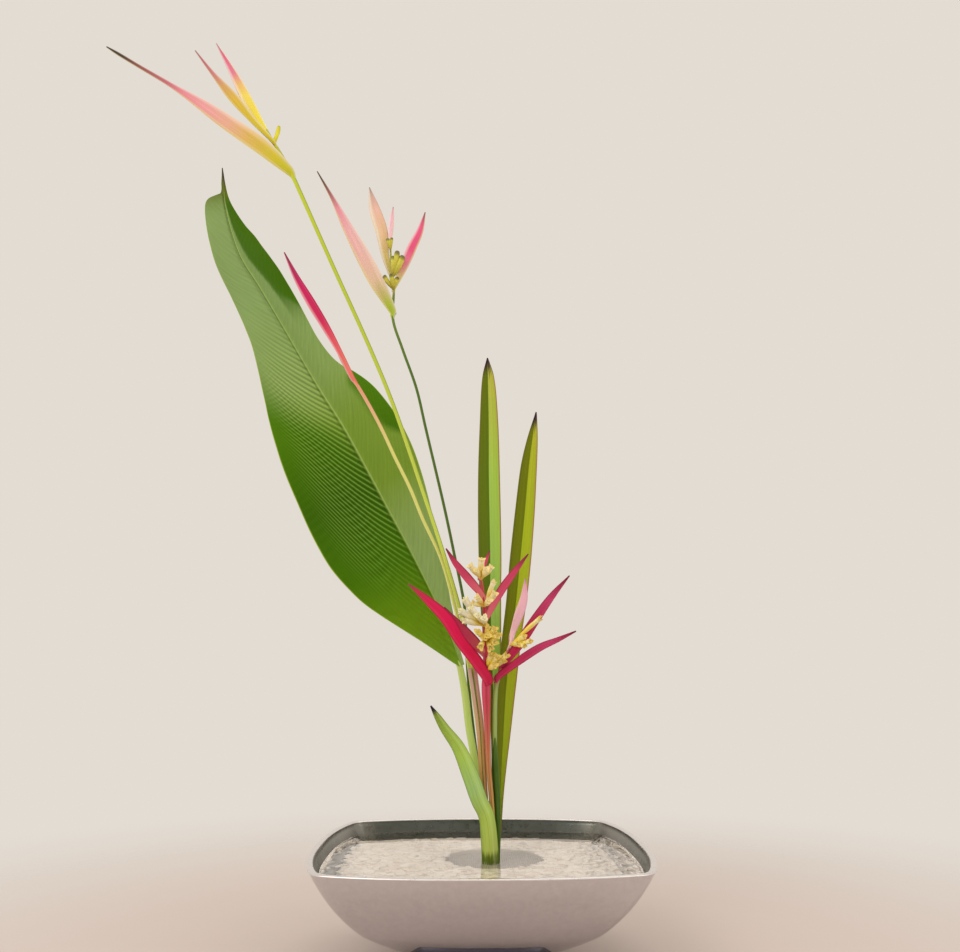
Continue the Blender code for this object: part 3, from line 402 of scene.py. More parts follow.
filling = dict(
    water=77.5, gravel=73.0, shift=-10.0, levelHalf=84.0, levelBack=66.0, slopeRun=26.0, endDrop=14.0,
    chip=7.0, kinds=8, reach=(-104.0, 106.0), fieldHalf=135, marble="#e7ddd1", shade="#d3c6b9",
    # the grey #b0aea8 is painted shade for the bowl's deep ends, where no chips lie
    pale="#ece6de", warm="#e6dac7", deepEndShade="#b0aea8", waterTint="#f6f2ef")
holder = dict(
    centre=(11.0, 1.0), radius=39.0, bottom=50.0, base=10.0, pin=13.2, pitch=3.3, pinRadius=0.62,
    bundle=(9.0, -2.5), bundleHalf=(11.0, 17.0), shade="#cdc5bd", metal="#dcd4cc", shine="#e6dfd8")


def gravelTop(x, y):
    past = max(abs(x - filling["shift"]) - filling["levelHalf"], y - filling["levelBack"])
    end = max(0.0, past / filling["slopeRun"])
    return filling["gravel"] - filling["endDrop"] * min(1.0,
                                                        end) ** 1.5 + 0.5 * math.sin(x / 9) * math.cos(y / 11)


def inBundle(x, y, grown=0.0):
    (cx, cy), (hx, hy) = holder["bundle"], holder["bundleHalf"]
    return math.hypot((x - cx) / (hx + grown), (y - cy) / (hy + grown)) < 1


def marble():
    # crushed cream marble: matte broken faces, each chip a little different, faint veins
    made, tree, shader = newMaterial("crushedMarble", Roughness=0.62)
    place = addNode(tree, "TexCoord").outputs["Object"]
    tone = addNode(tree, "Attribute", attribute_name="chipTone").outputs["Fac"]
    # tone 0, the bed at the deep ends, takes the grey painted shade
    colour = addNode(tree, "ValToRGB", {"Fac": tone},
                     stops=[(0.08, filling["deepEndShade"]), (0.12, filling["shade"]), (0.3, filling["marble"]),
                            (0.7, filling["pale"]),
                            (1.0, filling["warm"])])
    grain = addNode(tree, "TexNoise", {"Vector": place, "Scale": 1 / (2.2 * mm), "Detail": 6.0,
                                       "Roughness": 0.7})
    darker = addNode(tree, "MapRange", {0: grain.outputs["Fac"], 1: 0.3, 2: 0.7, 3: 0.9, 4: 1.05})
    mixed = addNode(tree, "Mix", {0: 1.0, 6: colour.outputs["Color"], 7: darker.outputs[0]}, data_type="RGBA",
                    blend_type="MULTIPLY")
    tree.links.new(mixed.outputs[2], shader.inputs["Base Color"])
    bump = addNode(tree, "Bump", {"Strength": 0.4, "Distance": 0.0003, "Height": grain.outputs["Fac"]})
    tree.links.new(bump.outputs[0], shader.inputs["Normal"])
    return made


def makeChip(number, dice):
    # one broken chip: a block with cut corners and worn edges, shaped once and copied
    deselectAll()
    bpy.ops.mesh.primitive_cube_add(size=1)
    chip = named(f"chip_{number}")
    bpy.ops.object.mode_set(mode="EDIT")
    for _ in range(2):
        bpy.ops.mesh.select_all(action="SELECT")
        way = Vector((dice.uniform(-1, 1), dice.uniform(-1, 1), dice.uniform(-1, 1))).normalized()
        bpy.ops.mesh.bisect(plane_co=way * dice.uniform(0.36, 0.48), plane_no=way, use_fill=True,
                            clear_outer=True)
    bpy.ops.mesh.select_all(action="SELECT")
    bpy.ops.mesh.bevel(offset=0.07, segments=1, affect="EDGES")
    bpy.ops.transform.resize(value=(dice.uniform(0.8, 1.25), dice.uniform(0.6, 0.9), dice.uniform(0.32, 0.5)))
    bpy.ops.object.mode_set(mode="OBJECT")
    return chip


def makeGravel():
    dice = random.Random(7)
    kinds = [makeChip(i, dice) for i in range(filling["kinds"])]
    pieces = []
    size = filling["chip"]
    step = size * 0.74
    count = int(filling["fieldHalf"] / step)
    for i in range(-count, count + 1):
        for j in range(-count, count + 1):
            x, y = (i + dice.uniform(-0.45, 0.45)) * step, (j + dice.uniform(-0.45, 0.45)) * step
            z = gravelTop(x, y)
            share = rimRadius(math.atan2(y, x)) / bowl["half"]
            if math.hypot(x, y) > (innerHalf(z) - 3.2) * share:
                continue
            low, high = filling["reach"]
            if not low + dice.uniform(-6, 3) < x < high + dice.uniform(-3, 6):
                continue
            fromHolder = math.hypot(x - holder["centre"][0], y - holder["centre"][1])
            if fromHolder < holder["radius"] + 0.8:
                continue
            chip = dice.choice(kinds).copy()
            chip.data = chip.data.copy()
            turn = Matrix.Rotation(dice.uniform(0, 6.28), 4, "Z") @ Matrix.Rotation(dice.gauss(0, 0.35), 4, "X")
            grown = size * dice.uniform(0.7, 1.3) * mm
            lift = z + dice.uniform(-0.7, 0.9)
            chip.data.transform(Matrix.Translation(Vector((x, y, lift)) * mm) @ turn @ Matrix.Scale(grown, 4))
            tone = chip.data.attributes.new("chipTone", "FLOAT", "POINT")
            tone.data.foreach_set("value", [dice.uniform(0.12, 1)] * len(chip.data.vertices))
            bpy.context.scene.collection.objects.link(chip)
            pieces.append(chip)
    for chip in kinds:
        bpy.data.objects.remove(chip)
    rings = [(2, bowl["floor"] + 0.3), (innerHalf(bowl["floor"] + 2) - 9, bowl["floor"] + 0.3)]
    for z in (30, 34, 40, 48, 55):
        rings.append((innerHalf(z) - 0.6, z))
    top = filling["gravel"]
    for share in (1, 0.96, 0.9, 0.83, 0.75, 0.66, 0.56, 0.45, 0.33, 0.2, 0.03):
        rings.append(((innerHalf(top) - 0.8) * share, top))
    bed = squaredRings("gravel_under", rings, 96)
    for vertex in bed.data.vertices:
        if vertex.co.z > (top - 0.5) * mm:
            x, y = vertex.co.x / mm, vertex.co.y / mm
            z = gravelTop(x, y) - 0.5
            vertex.co = Vector((x * innerHalf(z) / innerHalf(top), y * innerHalf(z) / innerHalf(top), z)) * mm
    (cx, cy), deep = holder["centre"], holder["bottom"] - 0.4
    deselectAll()
    bpy.ops.mesh.primitive_cylinder_add(vertices=96, radius=(holder["radius"] + 0.5) * mm, depth=40 * mm,
                                        location=(cx * mm, cy * mm, (deep + 20) * mm))
    well = named("holder_well")
    bpy.ops.object.transform_apply(location=True, rotation=True, scale=True)
    applyModifier(bed, "BOOLEAN", object=well, operation="DIFFERENCE", solver="EXACT")
    bpy.data.objects.remove(well)
    # beyond the chips' reach the bed gets tone 0, the grey painted shade
    tones = [0.3 if filling["reach"][0] < v.co.x / mm < filling["reach"][1] else 0.0 for v in bed.data.vertices]
    bed.data.attributes.new("chipTone", "FLOAT", "POINT").data.foreach_set("value", tones)
    bedFaces = len(bed.data.polygons)
    made = joinAll([bed] + pieces, "marble_gravel")
    active(made)
    bpy.ops.object.shade_flat()
    # the bed at the deep ends: plain grey painted shade
    deepEndShade, _, shader = newMaterial("greyDeepEndShade", Roughness=0.6)
    shader.inputs["Base Color"].default_value = toLinear(filling["deepEndShade"])
    finishPiece(made, "cream_stone", ["gravel_bed"], marble(), deepEndShade)
    for face in made.data.polygons[:bedFaces]:
        if not filling["reach"][0] < face.center.x / mm < filling["reach"][1]:
            face.material_index = 1
            face.use_smooth = True
    print("gravel made,", len(pieces), "chips")


def leadAndPins():
    # old cast lead with brass pins gone dull: grey-brown, satin, spotted
    made, tree, shader = newMaterial("dullLeadHolder", Metallic=0.35, Roughness=0.55)
    place = addNode(tree, "TexCoord").outputs["Object"]
    spots = addNode(tree, "TexNoise", {"Vector": place, "Scale": 1 / (4 * mm), "Detail": 5.0})
    colour = addNode(tree, "ValToRGB", {"Fac": spots.outputs["Fac"]},
                     stops=[(0.3, holder["shade"]), (0.55, holder["metal"]), (0.75, holder["shine"])])
    tree.links.new(colour.outputs["Color"], shader.inputs["Base Color"])
    bump = addNode(tree, "Bump", {"Strength": 0.2, "Distance": 0.0003, "Height": spots.outputs["Fac"]})
    tree.links.new(bump.outputs[0], shader.inputs["Normal"])
    return made


def makePinHolder():
    (cx, cy), top = holder["centre"], holder["bottom"] + holder["base"]
    deselectAll()
    bpy.ops.mesh.primitive_cylinder_add(vertices=96, radius=holder["radius"] * mm, depth=holder["base"] * mm,
                                        location=(cx * mm, cy * mm, (top - holder["base"] / 2) * mm))
    base = named("holder_base")
    bpy.ops.object.transform_apply(location=True, rotation=True, scale=True)
    applyModifier(base, "BEVEL", width=1.2 * mm, segments=3, limit_method="ANGLE")
    deselectAll()
    bpy.ops.mesh.primitive_cone_add(vertices=6, radius1=holder["pinRadius"] * mm, radius2=0.12 * mm,
                                    depth=(holder["pin"] + 1) * mm, location=(0, 0, 0))
    pin = named("holder_pin")
    pieces = [base]
    rowStep = holder["pitch"] * 0.866
    rows = int(holder["radius"] / rowStep)
    for row in range(-rows, rows + 1):
        for column in range(-13, 14):
            x = (column + 0.5 * (row % 2)) * holder["pitch"]
            y = row * rowStep
            if math.hypot(x, y) > holder["radius"] - 2.2 or inBundle(x + cx, y + cy, -3):
                continue
            one = pin.copy()
            one.data = pin.data.copy()
            one.data.transform(Matrix.Translation(Vector((x + cx, y + cy,
                                                          top + holder["pin"] / 2 - 0.5)) * mm))
            bpy.context.scene.collection.objects.link(one)
            pieces.append(one)
    bpy.data.objects.remove(pin)
    made = joinAll(pieces, "kenzan")
    smooth(made, 40)
    finishPiece(made, "dark_metal", ["pin_holder"], leadAndPins())
    print("pin holder made,", len(pieces) - 1, "pins")


def stillWater():
    # clear still water: sharp reflection at a low angle, what lies under it seen bent
    made, tree, shader = newMaterial("stillWater", Roughness=0.0, IOR=1.333)
    shader.inputs["Transmission Weight"].default_value = 1.0
    shader.inputs["Base Color"].default_value = toLinear(filling["waterTint"])
    light = addNode(tree, "LightPath").outputs["Is Shadow Ray"]
    clear = addNode(tree, "BsdfTransparent", {"Color": toLinear(filling["waterTint"])})
    both = addNode(tree, "MixShader", {0: light, 1: shader.outputs[0], 2: clear.outputs[0]})
    tree.links.new(both.outputs[0], tree.nodes["Material Output"].inputs["Surface"])
    return made


def makeWater():
    level = filling["water"]
    low = level - 21
    rings = [(2, low), (innerHalf(low) * 0.5, low), (innerHalf(low) - 0.5, low)]
    rings += [(innerHalf(z) - 0.3, z) for z in (low + 4, low + 9, low + 14, level - 3, level, level + 0.7)]
    rings += [(innerHalf(level) - 0.8, level + 0.4), (innerHalf(level) - 1.6, level + 0.15),
              (innerHalf(level) - 3, level), (innerHalf(level) * 0.5, level), (2, level)]
    made = squaredRings("still_water", rings, 144)
    smooth(made, 40)
    finishPiece(made, "water", ["water"], stillWater())
    print("water made")


tallStem = [(5.5, 31.5, footHeight, 1.7), (5.5, 31, sweepLow, 1.7), (5, 29, 101, 1.7), (3.5, 26, 127, 1.7),
            (2, 23, 147, 1.7), (0, 20, 177, 1.7), (-4, 17, 206, 1.7), (-8.5, 13, 239, 1.7),
            (-18, 9, 275, 1.7),
            (-32, 4, 321, 1.7), (-49, -2, 371, 1.7), (-74, -10, 442, 1.7), (-96, -16, 495, 1.7),
            (-130, -24, 569, 1.7), (-164, -32, 644, 1.8), (-172, -34, 660, 1.8), (-186, -36, 684, 1.2),
            (-192, -36, 695, 0.8)]
middleStem = [(6.5, 46, footHeight, 1.3), (6.5, 46, sweepLow, 1.3), (3, 47, 114, 1.3), (-2, 49, 150, 1.3),
              (-9, 51, 205, 1.3), (-12, 53, 249, 1.3), (-13.5, 54, 279, 1.3), (-23, 56, 326, 1.3),
              (-33, 58, 372, 1.3), (-50, 61, 443, 1.3), (-60, 62, 485, 1.3), (-74, 64, 525, 1.3),
              (-84, 65, 556, 1.3), (-84, 66, 585, 1.2), (-87, 67, 612, 1.0), (-89, 68, 643, 0.9)]
budStem = [(8.8, 35.5, footHeight, 1.5), (8.6, 35, sweepLow, 1.5), (5, 33, 116, 1.5), (2, 31, 146, 1.5),
           (-2, 28.5, 176, 1.5), (-6.5, 25.5, 206, 1.5), (-12, 20, 239, 1.5), (-21, 14, 273, 1.5),
           (-33, 8, 314, 1.5), (-49, 3, 348, 1.5), (-60, 0, 374, 1.5), (-74, -3, 402, 1.5),
           (-86, -6, 427, 1.5), (-101, -10, 454, 1.5), (-118, -13, 481, 1.5), (-123, -14.5, 490, 1.2)]
redStem = [(11.2, 30, footHeight, 2.0), (11, 30, sweepLow, 2.0), (10.5, 26, 101, 2.0), (9, 23, 125, 2.0),
           (7, 19, 147, 2.1), (6, 15, 177, 2.6), (5, 10, 206, 3.8), (5, 7.5, 219, 3.0), (4.5, 5, 238, 2.2),
           (4, 2.5, 255, 1.8), (3, -1, 279, 1.5), (-0.5, -4.5, 301, 1.1)]
sideStem = [(13.4, 35.5, footHeight, 1.6), (13.5, 34.5, sweepLow, 1.6), (14.2, 31, 101, 1.6),
            (13.6, 27.5, 125, 1.6),
            (12.6, 23, 147, 1.7), (12.2, 17.5, 177, 1.9), (13, 12, 206, 1.9), (16, 5, 219, 1.8),
            (20, 0, 231, 1.5), (25, -2.6, 243.5, 1.1)]

# across: on the tall, middle and bud stems, a painted highlight on one side and painted shade on the other
# on the side stem, painted shade on one side and the back; on the red stem, a darker back and front stripe
stemLooks = {
    "tall_heliconia_stem": dict(
        stem=tallStem, slot="stem_green",
        along=[(0, "#7f9a30"), (0.25, "#b4c84a"), (0.4, "#cbdb5a"), (0.7, "#bccd40"), (0.93, "#c4cf32"),
               (1, "#c8c23a")],
        across=[(0, "#7d9420", 0.4), (0.27, "#ecf08c", 0.6), (0.42, "#d4e05a", 0.2), (0.54, "#8ea82c", 0.0),
                (0.66, "#6f7c14", 0.7), (0.76, "#6f7c14", 0.8), (1, "#7d9420", 0.4)]),
    "middle_heliconia_stem": dict(
        stem=middleStem, slot="dark_green",
        along=[(0, "#4f6b1c"), (0.4, "#4c661c"), (0.75, "#4f6b1e"), (0.88, "#6f862a"), (0.93, "#a3ad40"),
               (1, "#b9b452")],
        across=[(0, "#35491a", 0.4), (0.3, "#8fa868", 0.5), (0.45, "#6f8f3a", 0.2), (0.58, "#35491a", 0.0),
                (0.72, "#2c3d14", 0.5), (1, "#35491a", 0.4)]),
    "pink_bud_stem": dict(
        stem=budStem, slot="stem_green",
        along=[(0, "#8aa038"), (0.3, "#c3cf5a"), (0.5, "#dadf74"), (0.8, "#e2dc7c"), (0.88, "#eeb48a"),
               (0.95, "#ec8c74"), (1, "#e8745f")],
        across=[(0, "#9c8a3a", 0.3), (0.27, "#f4f0a0", 0.4), (0.45, "#ffffff", 0), (0.6, "#8c7a2c", 0.0),
                (0.72, "#94742c", 0.55), (1, "#9c8a3a", 0.3)]),
    "red_heliconia_stem": dict(
        stem=redStem, slot="stem_rose",
        along=[(0, "#8d9440"), (0.2, "#b59a4a"), (0.34, "#c08a52"), (0.46, "#c46a54"), (0.56, "#cf4a5a"),
               (0.64, "#d8506e"), (0.75, "#d2465e"), (0.9, "#c8405a"), (1, "#c86a5a")],
        across=[(0, "#9a2c40", 0.3), (0.42, "#9c2a3c", 0.0), (0.5, "#8d2436", 0.55), (0.58, "#9c2a3c", 0.0),
                (1, "#9a2c40", 0.3)]),
    "side_heliconia_stem": dict(
        stem=sideStem, slot="pale_green",
        along=[(0, "#6f8a2c"), (0.4, "#8ea23c"), (0.64, "#8fa848"), (0.78, "#96ac50"), (0.9, "#bc8470"),
               (1, "#d4506e")],
        across=[(0, "#4f6a1c", 0.4), (0.4, "#ffffff", 0), (0.8, "#4f6a1c", 0.3), (1, "#4f6a1c", 0.4)]),
}


def makeStems():
    for name, look in stemLooks.items():
        made = tube(name.replace("heliconia_", "flower_"), look["stem"], along=140, around=16, ribs=0.012)
        skin = plantSkin(name.replace("_", " ").title().replace(" ", "") + "Skin", look["along"],
                         look["across"],
                         lines=16, streaks=0.08)
        finishPiece(made, look["slot"], [name], skin)
    print("stems made")


leaf = dict(
    spine=[(-16, 41, 226), (-29, 44, 261), (-44, 47, 293), (-62, 50, 328), (-84, 53, 368), (-106, 56, 408),
           (-128, 59, 447), (-151, 62, 483), (-175, 65, 523), (-200, 68, 565), (-217, 71, 593),
           (-239, 74, 629),
           (-256, 77, 679), (-264, 80, 727)],
    rows=[(0.0, 2, 3, 1), (0.03, 15, 4, 2), (0.06, 27, 7, 3), (0.1, 41, 12, 5), (0.15, 57, 20, 7),
          (0.19, 65, 26, 8),
          (0.23, 70, 32, 9), (0.27, 71.5, 38, 10), (0.31, 71.5, 43, 11), (0.355, 70, 47, 12),
          (0.40, 68, 48, 12),
          (0.44, 65, 46.5, 12), (0.48, 60.5, 43, 12), (0.515, 55, 36, 11), (0.535, 51.5, 29.5, 10),
          (0.56, 47.5, 25, 9),
          (0.60, 41, 22.8, 8), (0.64, 35.5, 23.5, 7), (0.68, 32.5, 24.5, 7), (0.72, 30.5, 25, 6),
          (0.76, 28.5, 25, 6),
          (0.80, 26, 24, 6), (0.84, 24.2, 20.5, 5), (0.87, 23.5, 14.5, 4), (0.90, 22.4, 9.2, 3),
          (0.92, 21, 6, 3),
          (0.934, 19, 4.2, 2), (0.941, 15, 3.6, 1.5), (0.9445, 9, 3.3, 1), (0.947, 3.6, 3.1, 1),
          (0.97, 1.9, 1.7, 0.6),
          (1.0, 0.4, 0.4, 0.2)],
    stalk=[(4.5, 39.5, footHeight, 2.6), (4.5, 40, sweepLow, 2.8), (2, 41, 115, 3.0), (-4, 41, 149, 3.0),
           (-9, 41.5, 175, 3.1), (-13, 42, 205, 3.2), (-19, 43.4, 232, 2.6), (-29, 46.4, 261, 1.7),
           (-44, 49.8, 293, 1.4), (-84, 55.6, 368, 1.1), (-128, 61.2, 447, 0.9), (-175, 66.8, 523, 0.7)],
    along=620, across=48, thickness=0.55, veinPitch=8.6, veinSlope=1.38, veinCurve=0.021, veinHeight=0.5,
    green=[(0.0, "#6e9420"), (0.09, "#648a0c"), (0.19, "#447000"), (0.32, "#3a6200"), (0.46, "#4a7602"),
           (0.72, "#4a760c"), (0.9, "#587a18"), (0.945, "#5e6c10"), (0.966, "#56541c"), (0.985, "#34222a")],
    # the grey-green along the leaf is painted sheen
    paintedSheen=[(0.1, "#b2c68c"), (0.22, "#a0b66e"), (0.32, "#84a038"), (0.44, "#86a23e"), (0.54, "#94ac62"),
         (0.62, "#92aa66"), (0.72, "#8ea668")],
    # the dark green just left of the midrib is painted shade in its furrow; the midrib itself is pale
    rib=[(0.0, "#d0dc68", 0.85), (0.005, "#a8c040", 0.0), (0.440, "#2c4d00", 0.0), (0.458, "#2c4d00", 0.45),
         (0.474, "#5d8020", 0.4), (0.483, "#a0b860", 0.6), (0.499, "#a8c06a", 0.7), (0.510, "#a8c06a", 0.6),
         (0.522, "#8fae54", 0.15), (0.535, "#8fae54", 0.0), (0.995, "#a8c040", 0.0), (1.0, "#c8d460", 0.7)],
    # the darker green of the right margin is painted shade; the pale green of the vein ridges is a painted
    # highlight
    marginShade="#3c6400", ridge="#94ae58",
    underside=[(0, "#a9bb62"), (0.5, "#94ad58"), (1, "#8fa650")],
    stalkAlong=[(0, "#8fae48"), (0.2, "#b4cc66"), (0.42, "#c2d678"), (0.6, "#aec268"), (1, "#a9bb62")],
    # across the stalk: a painted highlight down one side, painted shade down the other
    stalkAcross=[(0, "#6f8a30", 0.3), (0.35, "#d8e890", 0.4), (0.6, "#6f8a30", 0.0), (0.85, "#5c7a22", 0.5),
                 (1, "#6f8a30", 0.3)])


def leafSkin():
    # the leaf's upper face: deep green, a grey-green painted sheen, a pale midrib, side veins as soft folds
    made, tree, shader = newMaterial("leafGreenPaintedSheen", **{"Specular IOR Level": 0.06})
    uv = addNode(tree, "TexCoord").outputs["UV"]
    split = addNode(tree, "SeparateXYZ", {"Vector": uv})
    across, along = split.outputs["X"], split.outputs["Y"]
    phase = addNode(tree, "Attribute", attribute_name="veinPhase").outputs["Fac"]
    turns = addNode(tree, "Math", {0: phase, 1: 2 * math.pi}, operation="MULTIPLY").outputs[0]
    wave = addNode(tree, "Math", {0: turns}, operation="SINE").outputs[0]
    cloud = addNode(tree, "TexNoise", {"Vector": uv, "Scale": 6.0, "Detail": 4.0, "Roughness": 0.6})
    downVein = addNode(tree, "Math", {0: phase, 1: 7.0}, operation="MULTIPLY").outputs[0]
    overVein = addNode(tree, "Math", {0: across, 1: 5.0}, operation="MULTIPLY").outputs[0]
    lines = addNode(tree, "CombineXYZ", {"X": downVein, "Y": overVein}).outputs[0]
    fibre = addNode(tree, "TexNoise", {"Vector": lines, "Scale": 1.0, "Detail": 4.0}).outputs["Fac"]
    ramps = {  # smooth steps: what they follow, between which two places, from and to which value
        "reach": (along, 0.34, 0.66, 0.5, -0.2), "leftHalf": (across, 0.508, 0.498, 0, 1),
        "leftFrom": (along, 0.28, 0.5, 0, 1), "narrow": (along, 0.62, 0.9, 0, 0.2),
        "wideLow": (along, 0.34, 0.42, 0.24, 0), "wideHigh": (along, 0.49, 0.55, 0, 0.24),
        "wideEnd": (along, 0.64, 0.72, 0, 0.24), "rightHalf": (across, 0.498, 0.508, 0, 1),
        "rightFrom": (along, 0.04, 0.3, 0.45, 0.86), "tipFade": (along, 0.9, 0.96, 1, 0.2),
        "patchy": (fibre, 0.25, 0.75, 0.74, 0.86), "marginFrom": (along, 0.63, 0.72, 0, 1),
        "marginTo": (along, 0.92, 0.95, 0.85, 0), "veinsFromEdge": (across, 0.03, 0.16, 0, 1),
        "veinsToRib": (across, 0.5, 0.48, 0, 1), "veinsFrom": (along, 0.1, 0.3, 0, 1),
        "veinsTo": (along, 0.72, 0.5, 0, 1), "crest": (wave, 0.35, 1, 0, 1),
        "grain": (fibre, 0.2, 0.8, 0.93, 1.06), "dull": (cloud.outputs["Fac"], 0.3, 0.7, 0.42, 0.55)}
    step = {}
    for name, (value, low, high, start, end) in ramps.items():
        step[name] = addNode(tree, "MapRange", {0: value, 1: low, 2: high, 3: start, 4: end},
                             interpolation_type="SMOOTHSTEP").outputs[0]
    green = addNode(tree, "ValToRGB", {"Fac": along}, stops=leaf["green"]).outputs["Color"]
    paintedSheen = addNode(tree, "ValToRGB", {"Fac": along}, stops=leaf["paintedSheen"]).outputs["Color"]

    # painted sheen on the left half: none low down, next to the midrib half way, all across further up
    sheenMask = addNode(tree, "Math", {0: across, 1: step["reach"]}, operation="SUBTRACT").outputs[0]
    leftSheen = addNode(tree, "MapRange", {0: sheenMask, 1: -0.14, 2: 0.2},
                        interpolation_type="SMOOTHSTEP").outputs[0]
    for factor in (step["leftHalf"], step["leftFrom"]):
        leftSheen = addNode(tree, "Math", {0: leftSheen, 1: factor}, operation="MULTIPLY").outputs[0]

    # painted sheen on the right half: next to the midrib all the way, feathered edge against the margin
    feather = addNode(tree, "Math", {0: fibre, 1: 0.1, 2: -0.05}, operation="MULTIPLY_ADD").outputs[0]
    edge = addNode(tree, "Math", {0: across, 1: step["narrow"]}, operation="ADD").outputs[0]
    edge = addNode(tree, "Math", {0: edge, 1: feather}, operation="ADD").outputs[0]
    wide = addNode(tree, "Math", {0: step["wideLow"], 1: step["wideHigh"]}, operation="ADD").outputs[0]
    wide = addNode(tree, "Math", {0: wide, 1: step["wideEnd"]}, operation="SUBTRACT").outputs[0]
    inside = addNode(tree, "Math", {0: edge, 1: wide}, operation="SUBTRACT").outputs[0]
    rightSheen = addNode(tree, "MapRange", {0: inside, 1: 0.9, 2: 0.8},
                         interpolation_type="SMOOTHSTEP").outputs[0]
    for factor in (step["rightHalf"], step["rightFrom"]):
        rightSheen = addNode(tree, "Math", {0: rightSheen, 1: factor}, operation="MULTIPLY").outputs[0]
    sheenMask = addNode(tree, "Math", {0: leftSheen, 1: rightSheen}, operation="ADD").outputs[0]
    for factor in (step["tipFade"], step["patchy"]):
        sheenMask = addNode(tree, "Math", {0: sheenMask, 1: factor}, operation="MULTIPLY").outputs[0]
    # the grey-green mixed in here is painted sheen
    base = addNode(tree, "Mix", {0: sheenMask, 6: green, 7: paintedSheen}, data_type="RGBA").outputs[2]

    # the turned-back right margin is painted a darker green: painted shade
    marginShade = addNode(tree, "MapRange", {0: edge, 1: 0.78, 2: 0.84},
                     interpolation_type="SMOOTHSTEP").outputs[0]
    for factor in (step["marginFrom"], step["marginTo"]):
        marginShade = addNode(tree, "Math", {0: marginShade, 1: factor}, operation="MULTIPLY").outputs[0]
    base = addNode(tree, "Mix", {0: marginShade, 6: base, 7: toLinear(leaf["marginShade"])},
                   data_type="RGBA").outputs[2]

    # painted highlight on the vein ridges, painted shade in the furrows, strongest half way up the left half
    veins = step["veinsFromEdge"]
    for factor in (step["veinsToRib"], step["veinsFrom"], step["veinsTo"]):
        veins = addNode(tree, "Math", {0: veins, 1: factor}, operation="MULTIPLY").outputs[0]
    depth = addNode(tree, "Math", {0: veins, 1: 0.3, 2: 0.025}, operation="MULTIPLY_ADD").outputs[0]
    stripe = addNode(tree, "Math", {0: wave, 1: depth, 2: 1.0}, operation="MULTIPLY_ADD").outputs[0]
    base = addNode(tree, "Mix", {0: 1.0, 6: base, 7: stripe}, data_type="RGBA",
                   blend_type="MULTIPLY").outputs[2]
    # the ridge colour on the vein crests is a painted highlight
    ridge = addNode(tree, "Math", {0: veins, 1: 0.4}, operation="MULTIPLY").outputs[0]
    ridge = addNode(tree, "Math", {0: step["crest"], 1: ridge}, operation="MULTIPLY").outputs[0]
    base = addNode(tree, "Mix", {0: ridge, 6: base, 7: toLinear(leaf["ridge"])}, data_type="RGBA").outputs[2]
    base = addNode(tree, "Mix", {0: 1.0, 6: base, 7: step["grain"]}, data_type="RGBA",
                   blend_type="MULTIPLY").outputs[2]
    # the pale midrib, with painted shade in the furrow beside it
    rib = addNode(tree, "ValToRGB", {"Fac": across}, stops=leaf["rib"])
    base = addNode(tree, "Mix", {0: rib.outputs["Alpha"], 6: base, 7: rib.outputs["Color"]}, data_type="RGBA")
    tree.links.new(base.outputs[2], shader.inputs["Base Color"])
    fine = addNode(tree, "Math", {0: turns, 1: 5.0}, operation="MULTIPLY").outputs[0]
    fine = addNode(tree, "Math", {0: fine}, operation="SINE").outputs[0]
    bump = addNode(tree, "Bump", {"Strength": 0.15, "Distance": 0.0003, "Height": fine})
    tree.links.new(bump.outputs[0], shader.inputs["Normal"])
    tree.links.new(step["dull"], shader.inputs["Roughness"])
    return made


def makeLeaf():
    phases = {}

    def shape(u, v, run):
        left, right, rise = valueAt(leaf["rows"], u)
        w = math.copysign(abs(v) ** 1.35, v)
        width = max(0.3, right if v > 0 else left)
        sideways = w * width
        away = abs(sideways)
        phase = (run - leaf["veinSlope"] * away - leaf["veinCurve"] * away ** 2) / leaf["veinPitch"]
        phases[(round(u * leaf["along"]), round(v * leaf["across"] / 2))] = phase
        swell = min(1.0, away / 6) * (1 - abs(w) ** 6) * min(1.0, width / 18) * (1.0 if v < 0 else 0.2)
        swell *= max(0.0, min(1.0, (0.74 - u) / 0.2))
        forwards = leaf["veinHeight"] * swell * math.sin(2 * math.pi * phase)
        if v > 0:
            forwards += rise * (1.75 * w - 1.5 * w * w)
        else:
            forwards += rise * abs(w) ** 1.3
        thick = 1.9 * (1 - u) ** 0.8 + 0.35  # the midrib tapers, with a furrow beside it
        forwards += 0.9 * math.exp(-(away / thick) ** 2) * min(1.0, width / 10)
        forwards -= 1.2 * math.exp(-((away - 2.4 * thick) / (1.3 * thick)) ** 2) * min(1.0, width / 10) * (v < 0)
        forwards += 1.6 * abs(w) ** 3 * math.sin(2 * math.pi * (5.2 * u + 0.2 * (v > 0))) * min(1.0, width / 20)
        return sideways, forwards

    blade = bendGrid("leaf_blade", leaf["spine"], (0, -1, 0), leaf["along"], leaf["across"], shape)
    order = []
    for i in range(leaf["along"] + 1):
        for j in range(leaf["across"] + 1):
            order.append(phases[(i, j - leaf["across"] // 2)])
    blade.data.attributes.new("veinPhase", "FLOAT", "POINT").data.foreach_set("value", order)
    blade.data.materials.append(leafSkin())
    blade.data.materials.append(plantSkin("paleLeafUnderside", leaf["underside"], lines=8, streaks=0.05,
                                          roughness=0.55))
    applyModifier(blade, "SOLIDIFY", thickness=leaf["thickness"] * mm, offset=0, material_offset=1,
                  material_offset_rim=1)
    smooth(blade, 60)
    stalk = tube("leaf_stalk", leaf["stalk"], along=160, around=18, ribs=0.01)
    stalkSkin = plantSkin("leafStalkSkin", leaf["stalkAlong"], leaf["stalkAcross"], lines=18, streaks=0.06)
    stalk.data.materials.append(stalkSkin)
    made = joinAll([blade, stalk], "big_leaf")
    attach(made, "root")
    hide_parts("large_leaf")
    print("leaf made")


